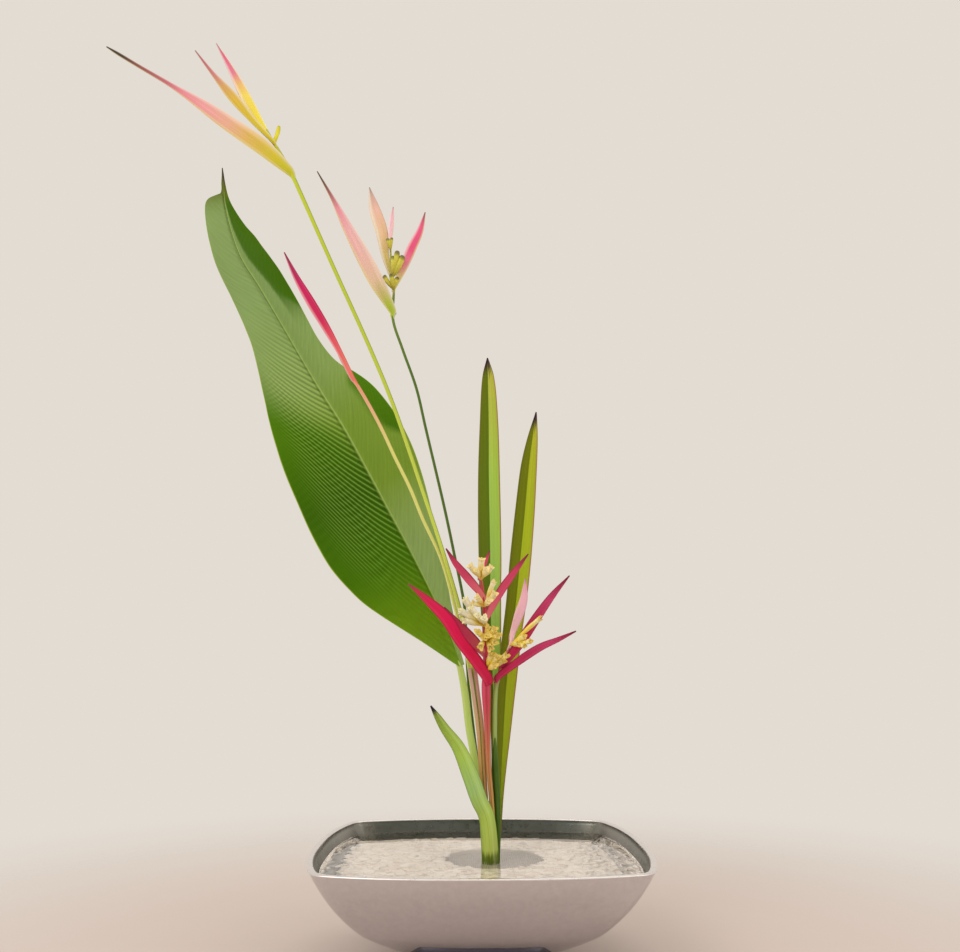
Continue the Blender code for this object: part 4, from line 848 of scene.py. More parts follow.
# across: on the tall and right blades one half of the fold is painted shade, the other painted light; edges
# brown
blades = {
    "tall_blade": dict(
        slot="blade_green", facing=(0, -1, 0), thickness=0.7,
        spine=[(11, 43.5, footHeight), (11, 43.5, sweepLow), (13, 49, 165), (12, 52, 205), (10, 57, 284),
               (10, 59, 322),
               (9, 63, 396), (9, 67, 455), (8, 70, 519)],
        rows=[(0, 2.2, 2.2, 1.0), (0.2, 2.6, 2.6, 1.2), (0.4, 7, 8, 3), (0.56, 10.5, 9.8, 4),
              (0.75, 10, 10, 4),
              (0.9, 7.5, 8, 3), (0.96, 5, 5.5, 2), (1, 0.5, 0.5, 0.2)],
        along=[(0, "#7f9a3a"), (0.3, "#90b444"), (0.5, "#98c45a"), (0.75, "#a3c448"), (0.93, "#bdb83a"),
               (1, "#b8a23a")],
        across=[(0, "#6a5a20", 0.8), (0.035, "#5c6000", 0.9), (0.1, "#5c6c00", 0.95), (0.3, "#5f6f00", 0.95),
                (0.46, "#526c00", 0.93), (0.5, "#4b6804", 0.85), (0.515, "#a8cc68", 0.3),
                (0.75, "#a8c858", 0.25),
                (0.94, "#9ab43c", 0.3), (0.975, "#a0603a", 0.7), (1, "#8d4a34", 0.8)],
        tip=(0.972, "#3a2228")),
    "right_blade": dict(
        slot="blade_green", facing=(0, -1, 0), thickness=0.7,
        spine=[(14, 39.5, footHeight), (14, 39.5, sweepLow), (16, 41, 107), (17.5, 42, 131), (20, 44, 165),
               (23, 46, 205),
               (28, 49, 248), (33, 51, 284), (37, 54, 320), (42, 57, 366), (47, 59, 414), (54, 62, 462)],
        rows=[(0, 2.0, 2.0, 1.0), (0.15, 2.4, 2.6, 1.2), (0.37, 8, 8, 3), (0.5, 8.5, 8.5, 3.5),
              (0.66, 9.5, 9.5, 4),
              (0.85, 8, 7.5, 3), (0.93, 5, 5, 2), (1, 0.5, 0.5, 0.2)],
        along=[(0, "#8aa62c"), (0.3, "#a8bc28"), (0.5, "#aebd24"), (0.75, "#a5b41c"), (0.93, "#b5b42c"),
               (1, "#b8a23a")],
        across=[(0, "#6a5a20", 0.8), (0.035, "#545a00", 0.9), (0.12, "#656e00", 0.93),
                (0.35, "#6c7400", 0.93),
                (0.47, "#606e00", 0.9), (0.5, "#587404", 0.8), (0.52, "#a2b41c", 0.3), (0.75, "#aab81c", 0.3),
                (0.92, "#94a824", 0.4), (0.975, "#b0703a", 0.7), (1, "#8d4a34", 0.8)],
        tip=(0.966, "#3a2228")),
    "short_blade": dict(
        slot="pale_green", facing=(0, 1, 0), thickness=0.7,
        spine=[(8.8, 24.5, footHeight), (8.6, 24.3, sweepLow), (5.5, 19.5, 107), (-1, 14.5, 122),
               (-8, 8, 141), (-17, 1, 161),
               (-29, -4, 177), (-40, -10, 194)],
        rows=[(0, 6.4, 6.4, 5.4), (0.15, 6.4, 6.4, 5.0), (0.36, 6.6, 5.6, 3.4), (0.5, 6.8, 6.2, 2),
              (0.63, 6.1, 6, 2),
              (0.8, 4.4, 4.3, 1.5), (0.92, 2.8, 2.6, 1), (1, 0.5, 0.5, 0.2)],
        along=[(0, "#4f5f14"), (0.135, "#5f6e1e"), (0.165, "#bece62"), (0.34, "#b4cc5c"), (0.5, "#a2c678"),
               (0.68, "#acca58"), (0.85, "#96b044"), (1, "#7a8a30")],
        # the pale band on one half is a painted highlight, the darker line down the fold painted shade; darker
        # edges
        across=[(0, "#3f5a20", 0.75), (0.05, "#7a9a4a", 0.2), (0.3, "#cbdc8a", 0.35), (0.47, "#8da844", 0.0),
                (0.5, "#6a8838", 0.5), (0.53, "#8da844", 0.0), (0.8, "#9aba4e", 0.2), (0.95, "#6c8a30", 0.3),
                (1, "#4c6624", 0.7)],
        tip=(0.955, "#2a2028")),
}


def makeBlades():
    for name, blade in blades.items():
        def shape(u, v, run, blade=blade):
            left, right, rise = valueAt(blade["rows"], u)
            width = max(0.25, right if v > 0 else left)
            crease = math.hypot(v, 0.05) - 0.05
            ribs = 0.07 * math.sin(26 * v) * min(1.0, width / 6)
            return v * width, rise * crease + ribs

        made = bendGrid(name + "_leaf", [swept(p) for p in blade["spine"]], blade["facing"], 220, 28, shape)
        applyModifier(made, "SOLIDIFY", thickness=blade["thickness"] * mm, offset=0)
        smooth(made, 70)
        skin = plantSkin(name.title().replace("_", "") + "Skin", blade["along"], blade["across"],
                         blade["tip"],
                         gloss=0.1, lines=30, streaks=0.1, roughness=0.45, relief=0.25)
        finishPiece(made, blade["slot"], [name], skin)
    print("blades made")


drySheath = dict(
    below=225, end=(-6.6, 14.9, 224), radius=2.5, flare=1.1, closed=0.975, opening=0.05, thickness=0.45,
    along=[(0, "#7c8a38"), (0.2, "#a89a50"), (0.42, "#cfa05a"), (0.62, "#dcb066"), (0.78, "#e2bc98"),
           (0.92, "#e6c8bc"), (1, "#d8b4a8")],
    across=[(0, "#b07a5c", 0.5), (0.2, "#c88a68", 0.3), (0.5, "#ffffff", 0), (0.7, "#b88a60", 0.25),
            (1, "#8a5a44", 0.5)])
darkSheath = dict(
    below=155, end=(12.3, 15.9, 168), ahead=2.9, thickness=0.45,
    rows=[(0, 2.5, 2.2), (0.7, 2.5, 2.2), (0.9, 1.9, 1.6), (1, 0.4, 0.2)],
    along=[(0, "#4f6c20"), (0.4, "#466418"), (0.8, "#426014"), (1, "#5a7628")],
    across=[(0, "#8aa040", 0.4), (0.15, "#3a5818", 0.0), (1, "#1f3408", 0.5)])


def makeDrySheath():
    # the dry sleeve round the tall stem, open down its front
    sheath = drySheath
    line = [swept(p) for p in tallStem if p[2] < sheath["below"]] + [sheath["end"]]

    def sleeve(u, v, run):
        radius = sheath["radius"] + sheath["flare"] * u ** 2
        turn = math.pi * v * (sheath["closed"] - sheath["opening"] * u)
        return -math.sin(turn) * radius, -math.cos(turn) * radius

    made = bendGrid("dry_sleeve", line, (0, -1, 0), 110, 22, sleeve)
    applyModifier(made, "SOLIDIFY", thickness=sheath["thickness"] * mm, offset=0)
    smooth(made, 60)
    skin = plantSkin("dryStemSheath", sheath["along"], sheath["across"], lines=26, streaks=0.16,
                     roughness=0.6)
    finishPiece(made, "sheath_cream", ["stem_sheath"], skin)
    print("dry sheath made")


def makeDarkSheath():
    # the half sleeve that stands in front of the side stem
    sheath = darkSheath
    line = [swept((p[0], p[1] - sheath["ahead"], p[2])) for p in sideStem if p[2] < sheath["below"]]
    line.append(swept(sheath["end"]))

    def strip(u, v, run):
        half, rise = valueAt(sheath["rows"], u)
        return math.copysign(abs(v) ** 0.7, v) * half, rise * abs(v) ** 1.4

    made = bendGrid("dark_sleeve", line, (0, 1, 0), 90, 14, strip)
    applyModifier(made, "SOLIDIFY", thickness=sheath["thickness"] * mm, offset=0)
    smooth(made, 60)
    skin = plantSkin("darkStemSheath", sheath["along"], sheath["across"], lines=14, streaks=0.15)
    finishPiece(made, "dark_green", ["dark_sheath"], skin)
    print("dark sheath made")


peach = [(0, "#c4c62a"), (0.14, "#d6c438"), (0.28, "#e0b862"), (0.38, "#eab294"), (0.5, "#f0a6a4"),
         (0.62, "#ee929e"),
         (0.7, "#cc7280"), (0.84, "#965852"), (0.92, "#4a3e34"), (1, "#34302a")]
sunny = [(0, "#d9cc30"), (0.3, "#dcc434"), (0.5, "#e0bc40"), (0.66, "#d8a468"), (0.76, "#cf8280"),
         (0.9, "#c06878"),
         (1, "#a08084")]
lemon = [(0, "#dcd230"), (0.3, "#f0dc48"), (0.48, "#f2da60"), (0.6, "#eab878"), (0.7, "#e07e92"),
         (0.88, "#dc6484"),
         (1, "#b08890")]
rosy = [(0, "#a4bc34"), (0.1, "#b2c23e"), (0.17, "#c9bc74"), (0.26, "#e6c4a4"), (0.4, "#efbeb2"),
        (0.6, "#f2b6b8"),
        (0.74, "#ee98a6"), (0.84, "#a8686c"), (0.93, "#5c4644"), (1, "#4a3c3a")]
straw = [(0, "#b9b048"), (0.25, "#cdb766"), (0.5, "#e4bc90"), (0.75, "#e8b8a4"), (0.92, "#c8a498"),
         (1, "#948078")]
hotPink = [(0, "#c4ba58"), (0.25, "#d6bc7c"), (0.38, "#ee8ea2"), (0.55, "#ee5c86"), (0.85, "#ea6088"),
           (0.95, "#b05a6a"),
           (1, "#7c5a60")]
coral = [(0, "#ee7a60"), (0.15, "#f08070"), (0.32, "#ea5e66"), (0.5, "#d42c5a"), (0.75, "#cc2260"),
         (0.9, "#b02c5c"),
         (1, "#7c3048")]
crimson = [(0, "#c42c50"), (0.12, "#d42450"), (0.35, "#e0164e"), (0.6, "#e81856"), (0.8, "#e4245a"),
           (0.93, "#c83c50"),
           (1, "#905058")]
salmon = [(0, "#e49a8c"), (0.25, "#dc6a7a"), (0.5, "#d2486a"), (0.78, "#c43a5c"), (0.92, "#8c3044"),
          (1, "#5c2a34")]
magenta = [(0, "#d0406a"), (0.25, "#cc2a5c"), (0.5, "#b82c58"), (0.75, "#c84070"), (0.93, "#9c284c"),
           (1, "#6a1c30")]
palePink = [(0, "#f0c4b8"), (0.3, "#f4c4cc"), (0.7, "#f2bac8"), (0.92, "#e4a4b4"), (1, "#a87884")]
lightEdge = [(0, "#ffd8d0", 0.5), (0.05, "#ffc8c0", 0.2), (0.12, "#ffffff", 0.0), (0.44, "#8a1030", 0.0),
             (0.5, "#8a1030", 0.28), (0.56, "#8a1030", 0.0), (0.88, "#ffffff", 0.0), (0.95, "#ffc8c0", 0.2),
             (1, "#ffd8d0", 0.5)]
darkEdge = [(0, "#6c1028", 0.75), (0.04, "#8c1434", 0.5), (0.1, "#8c1434", 0.0), (0.3, "#ff5a84", 0.0),
            (0.42, "#ff5a84", 0.25), (0.5, "#8a1030", 0.35), (0.58, "#ff5a84", 0.25), (0.7, "#ff5a84", 0.0),
            (0.9, "#8c1434", 0.0), (0.96, "#8c1434", 0.5), (1, "#6c1028", 0.75)]
paleKeel = [(0, "#b08878", 0.5), (0.05, "#e8c8b0", 0.1), (0.12, "#ffffff", 0.0), (0.26, "#ecdfc8", 0.0),
            (0.4, "#efe6d2", 0.7), (0.6, "#efe6d2", 0.7), (0.74, "#ecdfc8", 0.0), (0.88, "#ffffff", 0.0),
            (1, "#b08878", 0.5)]
pinkKeel = [(0, "#8e1844", 0.5), (0.06, "#8e1844", 0.15), (0.12, "#ffffff", 0.0), (0.32, "#f8b0b8", 0.0),
            (0.42, "#f8b4bc", 0.6), (0.5, "#fcc8cc", 0.75), (0.58, "#f8b4bc", 0.6), (0.68, "#f8b0b8", 0.0),
            (0.88, "#ffffff", 0.0), (1, "#8e1844", 0.5)]
yellowKeel = [(0, "#f0e0d0", 0.7), (0.08, "#f0e0d0", 0.25), (0.15, "#ffffff", 0.0), (0.38, "#f0dc98", 0.0),
              (0.46, "#f4e6a8", 0.6), (0.54, "#f4e6a8", 0.6), (0.62, "#f0dc98", 0.0), (0.85, "#ffffff", 0.0),
              (1, "#f0e0d0", 0.7)]

bracts = {
    "tall_heliconia_bract_1": dict(
        line=[(-172, -34, 657), (-196, -39, 677), (-223, -43, 695), (-249, -48, 712), (-276, -53, 728),
              (-303, -57, 743), (-330, -62, 758)],
        rows=[(0, 8, 3.0), (0.17, 14.5, 3.2), (0.33, 13.8, 2.6), (0.45, 11.8, 2.0), (0.56, 7.4, 1.6),
              (0.66, 4, 1.3),
              (0.83, 2.8, 1.0), (0.94, 2.6, 0.9), (1, 0.8, 0.4)],
        opens=(0.4, 0, 0.9), stem=tallStem, slot="peach_bract", along=peach, across=yellowKeel),
    "tall_heliconia_bract_2": dict(
        line=[(-188, -38, 685), (-204, -39, 702), (-222, -42, 723), (-240, -45, 744), (-257, -48, 766)],
        rows=[(0, 2.5, 1.2), (0.25, 5.5, 1.6), (0.5, 8.6, 1.9), (0.75, 3.6, 1.2), (1, 0.8, 0.4)],
        opens=(0.6, 0, 0.7), stem=tallStem, slot="peach_bract", along=sunny, across=yellowKeel),
    "tall_heliconia_bract_3": dict(
        line=[(-191, -34.5, 692), (-202, -32, 709), (-216, -30, 735), (-230, -29, 762), (-245, -28, 789)],
        rows=[(0, 3, 1.4), (0.25, 8.4, 2.0), (0.5, 8.8, 2.0), (0.75, 5.2, 1.2), (1, 0.8, 0.4)],
        opens=(-0.7, 0, 0.5), stem=tallStem, slot="peach_bract", along=lemon, across=yellowKeel),
    "middle_heliconia_bract_1": dict(
        line=[(-85, 65, 566), (-100, 61, 593), (-115, 58, 621), (-130, 56, 649), (-145, 53, 678),
              (-161, 50, 706)],
        rows=[(0, 7, 2.4), (0.2, 14.5, 3.2), (0.4, 14, 3.0), (0.6, 9.9, 2.2), (0.8, 4.1, 1.2), (1, 0.8, 0.4)],
        opens=(0.85, 0, 0.5), stem=middleStem, slot="rose_bract", along=rosy, across=yellowKeel),
    "middle_heliconia_bract_2": dict(
        line=[(-88, 67.5, 606), (-94, 70, 628), (-98, 72, 653), (-106, 74, 679), (-112, 76, 704)],
        rows=[(0, 4, 1.8), (0.25, 8.2, 2.2), (0.5, 12.3, 2.4), (0.75, 10.6, 1.8), (1, 0.8, 0.4)],
        opens=(0.9, 0, 0.3), stem=middleStem, slot="rose_bract", along=straw, across=paleKeel),
    "middle_heliconia_bract_3": dict(
        line=[(-89, 68.3, 641), (-88, 70.5, 665), (-87, 72, 680)],
        rows=[(0, 3, 1.2), (0.5, 4.8, 1.2), (1, 0.8, 0.4)],
        opens=(-1, 0, 0), stem=middleStem, slot="rose_bract", along=palePink, across=yellowKeel),
    "middle_heliconia_bract_4": dict(
        line=[(-83.5, 66.5, 591), (-74, 65, 613), (-67, 64, 631), (-59, 62, 649), (-54, 60, 668)],
        rows=[(0, 4, 1.8), (0.25, 7.6, 2.2), (0.5, 9.2, 2.2), (0.75, 6.6, 1.5), (1, 0.8, 0.4)],
        opens=(-0.9, 0, 0.4), stem=middleStem, slot="rose_bract", along=hotPink, across=yellowKeel),
    "pink_bud_bract": dict(
        line=[(-112.4, -12.2, 472), (-123, -15.8, 493), (-135, -19, 514), (-148, -23, 535), (-161, -26, 557),
              (-172, -30, 579)],
        rows=[(0, 3.4, 1.9), (0.2, 4.6, 1.9), (0.4, 6.8, 2.0), (0.6, 7.6, 1.9), (0.8, 5.2, 1.4),
              (1, 0.8, 0.4)],
        opens=(0.8, 0, 0.5), stem=budStem, slot="pink_bract", along=coral, across=pinkKeel),
    "red_heliconia_bract_1": dict(
        line=[(6, 4, 215), (-4, -3, 230), (-17, -12, 246), (-28, -22, 263), (-43, -31, 277), (-58, -40, 289)],
        rows=[(0, 7, 2.8), (0.2, 9.6, 3.0), (0.4, 9.0, 2.6), (0.6, 9.6, 2.4), (0.8, 6.4, 1.6), (1, 0.8, 0.4)],
        opens=(0.6, 0, 0.8), stem=redStem, slot="crimson_bract", along=crimson, across=darkEdge),
    "red_heliconia_bract_2": dict(
        line=[(3, 5.5, 236), (-8, 1, 248), (-16, -3, 257), (-23, -6, 265), (-30, -8, 273)],
        rows=[(0, 5, 2.0), (0.25, 8.9, 2.4), (0.5, 7.7, 2.2), (0.75, 4.3, 1.4), (1, 0.8, 0.4)],
        opens=(0.6, 0, 0.8), stem=redStem, slot="crimson_bract", along=salmon, across=darkEdge),
    "red_heliconia_bract_3": dict(
        line=[(2, -1.5, 283), (-10, -3, 297), (-21, -5, 310), (-29, -7, 322)],
        rows=[(0, 4.5, 1.6), (0.33, 6.8, 1.8), (0.67, 5.2, 1.4), (1, 0.8, 0.4)],
        opens=(0.7, 0, 0.7), stem=redStem, slot="crimson_bract", along=salmon, across=darkEdge),
    "red_heliconia_bract_4": dict(
        line=[(4, 1.5, 263), (15, 9, 284), (28, 15, 303), (42, 20, 321)],
        rows=[(0, 4.5, 1.6), (0.33, 6.8, 1.8), (0.67, 5.8, 1.5), (1, 0.8, 0.4)],
        opens=(-0.7, 0, 0.7), stem=redStem, slot="crimson_bract", along=salmon, across=darkEdge),
    "red_heliconia_bract_5": dict(
        line=[(-0.5, -4.5, 298), (4, -3, 311), (8, 0, 321)],
        rows=[(0, 2.4, 0.9), (0.5, 3.4, 1.0), (1, 0.8, 0.4)],
        opens=(-1, 0, 0.3), stem=redStem, slot="crimson_bract", along=salmon, across=darkEdge),
    "side_heliconia_bract_1": dict(
        line=[(21, 0, 228.5), (34, -2.5, 246), (46, -6, 264), (59, -12, 282), (73, -19, 298)],
        rows=[(0, 4.5, 1.8), (0.25, 8, 2.1), (0.5, 7.6, 1.8), (0.75, 5.4, 1.5), (1, 0.8, 0.4)],
        opens=(-0.7, 0, 0.7), stem=sideStem, slot="crimson_bract", along=magenta, across=darkEdge),
    "side_heliconia_bract_2": dict(
        line=[(25.4, -1.6, 243.8), (27, 6, 252), (32, 10, 266), (37, 12, 281), (39, 14, 299)],
        rows=[(0, 2.4, 1.0), (0.25, 5, 1.6), (0.5, 7.6, 1.7), (0.75, 5.8, 1.3), (1, 0.8, 0.4)],
        opens=(-0.9, 0, 0.3), stem=sideStem, slot="rose_bract", along=palePink, across=lightEdge),
    "side_heliconia_bract_3": dict(
        line=[(15.5, 5, 217), (33, -12, 230.5), (48, -20, 240), (62, -29, 246), (75, -38, 252)],
        rows=[(0, 4, 1.6), (0.25, 5.8, 1.8), (0.5, 6.2, 1.6), (0.75, 4.2, 1.2), (1, 0.8, 0.4)],
        opens=(-0.2, 0, 1), stem=sideStem, slot="crimson_bract", along=magenta, across=darkEdge),
}


def makeBracts():
    for name, bract in bracts.items():
        start = bract["line"][0]
        gusset = []  # the bract's foot runs down its stem and wraps it
        length = sum((Vector(a) - Vector(b)).length for a, b in zip(bract["line"], bract["line"][1:]))
        reach = min(11.0, length * 0.16)
        for drop in (reach, reach / 2):
            point, radius = stemAt(bract["stem"], start[2] - drop)
            gusset.append(tuple(point))
        _, radius = stemAt(bract["stem"], start[2])
        foot = reach / (length + reach)
        depth, half = bract["rows"][0][1:]
        rows = [(0, radius, radius * 0.5), (foot, max(depth, radius * 2 + 0.9), max(half, radius + 0.5))]
        rows += [(foot + place * (1 - foot), depth, half) for place, depth, half in bract["rows"][1:]]

        def shape(u, v, run, rows=rows):
            depth, half = valueAt(rows, u)
            rolled = 1 - 0.3 * max(0.0, abs(v) - 0.75) / 0.25
            side = math.copysign(abs(v) ** 0.6, v) * max(0.25, half) * rolled
            return side, max(0.4, depth) * (abs(v) ** 1.15 - 0.5)

        made = bendGrid(name.replace("heliconia_", "flower_"), gusset + bract["line"], bract["opens"], 64, 16,
                        shape)
        applyModifier(made, "SOLIDIFY", thickness=0.45 * mm, offset=0)
        smooth(made, 70)
        skin = plantSkin(name.title().replace("_", "") + "Skin", bract["along"], bract["across"], lines=24,
                         streaks=0.09, roughness=0.4, relief=0.2)
        finishPiece(made, bract["slot"], [name], skin)
    print("bracts made")


florets = {
    "middle_heliconia_florets_1": dict(height=600, stem=middleStem, width=2.7, look="capped", tips=[
        (-84.5, 58, 620), (-80, 55, 624), (-75, 57, 620), (-77.5, 62, 621)]),
    "middle_heliconia_florets_2": dict(height=587, stem=middleStem, width=2.2, look="capped", tips=[
        (-93, 57, 599), (-79.5, 57, 597), (-86, 54, 599)]),
    "middle_heliconia_florets_3": dict(height=629, stem=middleStem, width=1.8, look="capped", tips=[
        (-91, 61, 640), (-86.5, 61, 641)]),
    "red_heliconia_florets_1": dict(height=296, stem=redStem, width=2.3, look="cream", tips=[
        (-9, -14, 307), (1, -15, 312), (9, -13, 306), (-4, -16, 303), (5, -16, 304)]),
    "red_heliconia_florets_2": dict(height=274, stem=redStem, width=2.3, look="cream", tips=[
        (11, -13, 294), (-3, -15, 281), (7, -16, 278), (12, -14, 284), (-7, -13, 276)]),
    "red_heliconia_florets_3": dict(height=258, stem=redStem, width=2.4, look="white", tips=[
        (-13, -13, 279), (-8, -15, 272), (-14, -14, 262), (-17, -10, 270), (-3, -16, 266), (3, -16, 264)]),
    "red_heliconia_florets_4": dict(height=247, stem=redStem, width=2.5, look="golden", tips=[
        (15, -12, 250), (3, -15, 248), (8, -16, 239), (6, -12, 257), (-3, -15, 253), (12, -15, 255),
        (12, -16, 244),
        (0, -16, 240), (6, -17, 250)]),
    "red_heliconia_florets_5": dict(height=222, stem=redStem, width=2.5, look="golden", tips=[
        (19, -9, 230), (12, -12, 226), (22, -9, 234), (14, -12, 233), (9, -11, 235)]),
    "side_heliconia_florets": dict(height=242, stem=sideStem, width=2.0, look="golden", tips=[
        (36, -16, 249), (41, -17, 245), (31, -15, 243), (36, -17, 241), (49, -14, 264)]),
}
floretLooks = {
    "capped": [(0, "#a89a30"), (0.35, "#d0c444"), (0.78, "#e2da54"), (0.9, "#8a8428"), (1, "#55501c")],
    "cream": [(0, "#ecc860"), (0.4, "#f2d66c"), (0.7, "#f8e698"), (0.92, "#fcf2c8"), (1, "#f2d888")],
    "white": [(0, "#ecc840"), (0.35, "#f4dc58"), (0.6, "#faf0bc"), (0.9, "#fcf8e2"), (1, "#f6eeb8")],
    "golden": [(0, "#ecc850"), (0.4, "#f4d84c"), (0.7, "#f8e262"), (0.9, "#fcf0ac"), (1, "#ecca50")],
}


def floretSkin(look):
    # thin moist petals: soft shine, darker or paler towards the mouth
    made, tree, shader = newMaterial(look + "Petals", Roughness=0.4)
    along = addNode(tree, "Attribute", attribute_name="tipward").outputs["Fac"]
    colour = addNode(tree, "ValToRGB", {"Fac": along}, stops=floretLooks[look])
    place = addNode(tree, "TexCoord").outputs["Object"]
    mottle = addNode(tree, "TexNoise", {"Vector": place, "Scale": 1 / (2.5 * mm), "Detail": 3.0})
    tint = addNode(tree, "MapRange", {0: mottle.outputs["Fac"], 1: 0.3, 2: 0.7, 3: 0.9, 4: 1.05})
    mixed = addNode(tree, "Mix", {0: 1.0, 6: colour.outputs["Color"], 7: tint.outputs[0]}, data_type="RGBA",
                    blend_type="MULTIPLY")
    tree.links.new(mixed.outputs[2], shader.inputs["Base Color"])
    bump = addNode(tree, "Bump", {"Strength": 0.2, "Distance": 0.0002, "Height": mottle.outputs["Fac"]})
    tree.links.new(bump.outputs[0], shader.inputs["Normal"])
    return made


floretShapes = {  # (radius, height) rings of a floret 1 long, and how far its lips open
    "opened": dict(lip=0.16, rings=[(0.06, 0.16), (0.08, 0.3), (0.12, 0.42), (0.155, 0.56), (0.162, 0.7),
                                    (0.152, 0.82),
                                   (0.165, 0.92), (0.185, 1.0), (0.15, 0.985), (0.11, 0.93), (0.07, 0.84)]),
    "closed": dict(lip=0.0, rings=[(0.07, 0.1), (0.1, 0.22), (0.135, 0.38), (0.155, 0.56), (0.16, 0.74),
                                   (0.155, 0.86),
                                   (0.14, 0.93), (0.1, 0.98), (0.04, 1.0)]),
}


def modelFloret(name):
    # one floret, 1 long and about 0.3 wide: a slender foot, a tube that swells, three petal lips open or closed
    look = floretShapes[name]
    deselectAll()
    bpy.ops.mesh.primitive_cylinder_add(vertices=12, radius=0.05, depth=0.04, location=(0, 0, 0))
    made = named("floret")
    bpy.ops.object.mode_set(mode="EDIT")
    bpy.ops.mesh.select_mode(type="FACE")
    bpy.ops.mesh.select_all(action="DESELECT")
    bpy.ops.object.mode_set(mode="OBJECT")
    for face in made.data.polygons:
        face.select = face.normal.z > 0.9
    bpy.ops.object.mode_set(mode="EDIT")
    radius, height = 0.05, 0.02
    for nextRadius, nextHeight in look["rings"]:
        bpy.ops.mesh.extrude_region_move(TRANSFORM_OT_translate={"value": (0, 0, nextHeight - height)})
        share = nextRadius / radius
        bpy.ops.transform.resize(value=(share, share, 1), center_override=(0, 0, 0))
        radius, height = nextRadius, nextHeight
    bpy.ops.object.mode_set(mode="OBJECT")
    for vertex in made.data.vertices:
        x, y, z = vertex.co
        angle = math.atan2(y, x)
        lip = max(0.0, (z - 0.72) / 0.28) ** 2 * look["lip"]
        grow = 1 + lip * math.cos(3 * angle) + 0.1 * math.cos(3 * angle) * min(1, z)
        vertex.co = (x * grow, y * grow, z + 0.2 * lip * math.cos(3 * angle))
    if look["lip"]:
        deselectAll()
        bpy.ops.mesh.primitive_cone_add(vertices=6, radius1=0.03, radius2=0.04, depth=0.3,
                                        location=(0.02, 0, 0.92))
        style = named("style")
        bpy.ops.object.transform_apply(location=True, rotation=True, scale=True)
        made = joinAll([made, style], "floret")
    values = [max(0.0, min(1.0, v.co.z)) for v in made.data.vertices]
    made.data.attributes.new("tipward", "FLOAT", "POINT").data.foreach_set("value", values)
    return made


def makeFlorets():
    dice = random.Random(3)
    shapes = {name: modelFloret(name) for name in floretShapes}
    skins = {look: floretSkin(look) for look in floretLooks}
    for name, group in florets.items():
        root, stemRadius = stemAt(group["stem"], group["height"])
        root += Vector((0, -stemRadius * 0.6, 0))
        pieces = []
        for tip in group["tips"]:
            way = Vector(tip) - root
            one = shapes["closed" if group["look"] == "capped" else "opened"]
            copy = one.copy()
            copy.data = one.data.copy()
            bend = dice.uniform(-0.22, 0.22)
            for vertex in copy.data.vertices:
                vertex.co.x += bend * vertex.co.z * (1 - vertex.co.z)
            thick = group["width"] / 0.16 * dice.uniform(0.85, 1.15)
            turn = way.to_track_quat("Z", "Y").to_matrix().to_4x4()
            shape = Matrix.Diagonal((thick, thick, way.length, 1))
            spin = Matrix.Rotation(dice.uniform(0, 6.28), 4, "Z")
            copy.data.transform(Matrix.Scale(mm, 4) @ Matrix.Translation(root) @ turn @ shape @ spin)
            bpy.context.scene.collection.objects.link(copy)
            pieces.append(copy)
        made = joinAll(pieces, name.replace("heliconia_florets", "flower_florets"))
        smooth(made, 60)
        finishPiece(made, "yellow_floret", [name], skins[group["look"]])
    for one in shapes.values():
        bpy.data.objects.remove(one)
    print("florets made")


tallBud = dict(
    stem=[(-184.6, -36.6, 680, 1.3), (-184, -36.2, 684.5, 1.7), (-182.8, -35.7, 689.5, 1.8),
          (-181.8, -35.3, 694.5, 1.9), (-181.4, -35.1, 698.5, 1.4), (-181.3, -35, 699.8, 0.4)],
    along=[(0, "#d8cc30"), (0.5, "#e6dc3c"), (0.85, "#d8cc34"), (1, "#a8a02c")])


def makeBud():
    made = tube("flower_bud", tallBud["stem"], along=40)
    finishPiece(made, "yellow_floret", ["tall_heliconia_bud"],
                plantSkin("budPetals", tallBud["along"], lines=10))
    print("bud made")


studio = dict(
    backdrop="#e6dfd6", floor="#cfc1b9", strength=0.97, lightColour=(1.0, 0.985, 0.96),
    lights=[  # name, power, size, place, what it points at
        ("key_light", 26, 1.6, (-1.5, -1.6, 2.1), (-0.1, 0, 0.4)),
        ("fill_light", 9, 1.8, (1.9, -1.2, 1.4), (0, 0, 0.35)),
        ("top_light", 8, 1.4, (0.2, 0.6, 2.4), (0, 0, 0.2))])
view = dict(place=(-0.01246, -0.75898, 0.2178), up=0.218, right=0.016, lens=33.75, sensor=36, near=0.02)


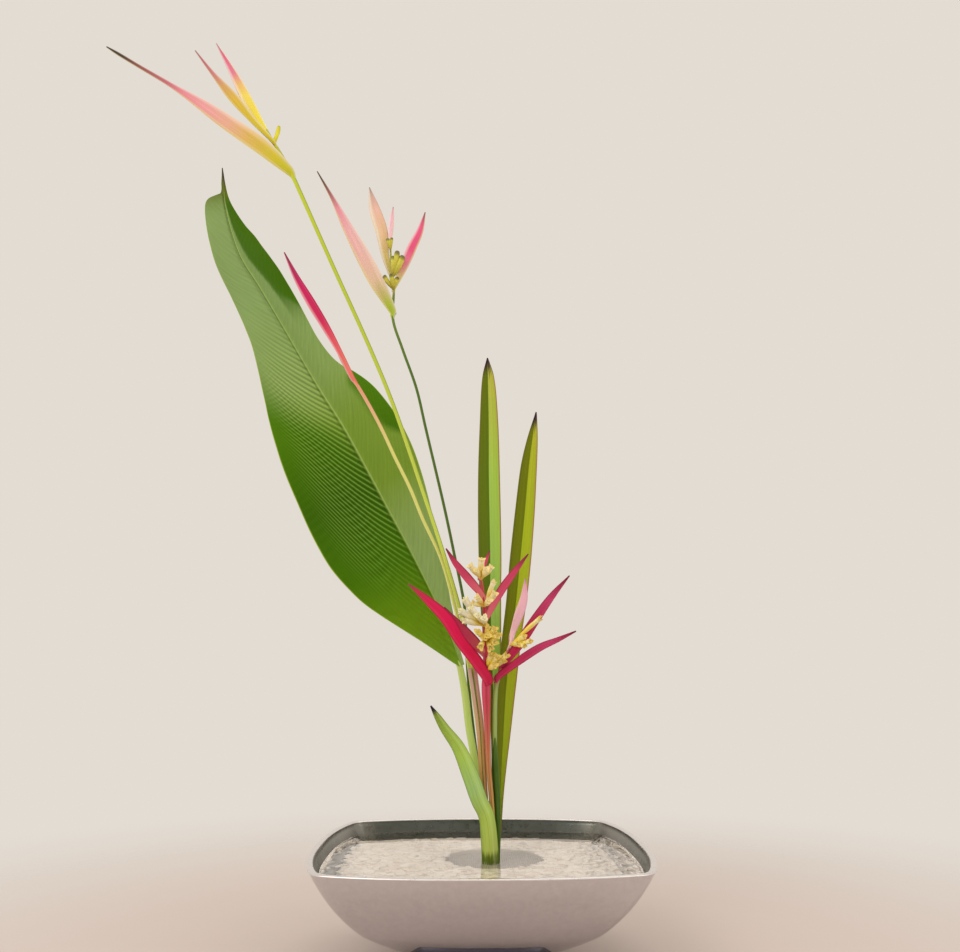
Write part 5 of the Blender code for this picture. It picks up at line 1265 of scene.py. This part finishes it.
def makeStage():
    deselectAll()
    bpy.ops.mesh.primitive_circle_add(vertices=128, radius=4.0, fill_type="NGON", location=(0, 0, -0.0005))
    floor = named("studio_floor")
    bpy.ops.object.transform_apply(location=True)
    made, tree, shader = newMaterial("paleStudioFloor", Roughness=0.9)
    shader.inputs["Base Color"].default_value = toLinear(studio["floor"])
    shader.inputs["Specular IOR Level"].default_value = 0.1
    place = addNode(tree, "TexCoord").outputs["Object"]
    far = addNode(tree, "VectorMath", {0: place}, operation="LENGTH")
    fade = addNode(tree, "MapRange", {0: far.outputs["Value"], 1: 0.2, 2: 0.9},
                   interpolation_type="SMOOTHSTEP")
    clear = addNode(tree, "BsdfTransparent")
    both = addNode(tree, "MixShader", {0: fade.outputs[0], 1: shader.outputs[0], 2: clear.outputs[0]})
    tree.links.new(both.outputs[0], tree.nodes["Material Output"].inputs["Surface"])
    floor.data.materials.append(made)

    world = bpy.context.scene.world or bpy.data.worlds.new("studio")
    bpy.context.scene.world = world
    world.use_nodes = True
    background = world.node_tree.nodes["Background"]
    background.inputs["Color"].default_value = toLinear(studio["backdrop"])
    background.inputs["Strength"].default_value = studio["strength"]

    for name, power, size, place, aim in studio["lights"]:
        bpy.ops.object.light_add(type="AREA", location=place)
        light = bpy.context.object
        light.name = name
        light.data.energy = power
        light.data.size = size
        light.rotation_euler = (Vector(aim) - Vector(place)).to_track_quat("-Z", "Y").to_euler()
        light.data.color = studio["lightColour"]
    print("floor and lights made")


def makeCamera():
    bpy.ops.object.camera_add(location=view["place"], rotation=(math.pi / 2 + view["up"], 0, -view["right"]))
    camera = bpy.context.object
    camera.data.lens = view["lens"]
    camera.data.sensor_width = view["sensor"]
    camera.data.clip_start = view["near"]
    bpy.context.scene.camera = camera
    bpy.context.scene.view_settings.view_transform = "Standard"
    print("camera made")


makeCamera()
makeStage()
makeBowl()
makeGravel()
makePinHolder()
makeWater()
makeStems()
makeLeaf()
makeBlades()
makeDrySheath()
makeDarkSheath()
makeBracts()
makeFlorets()
makeBud()
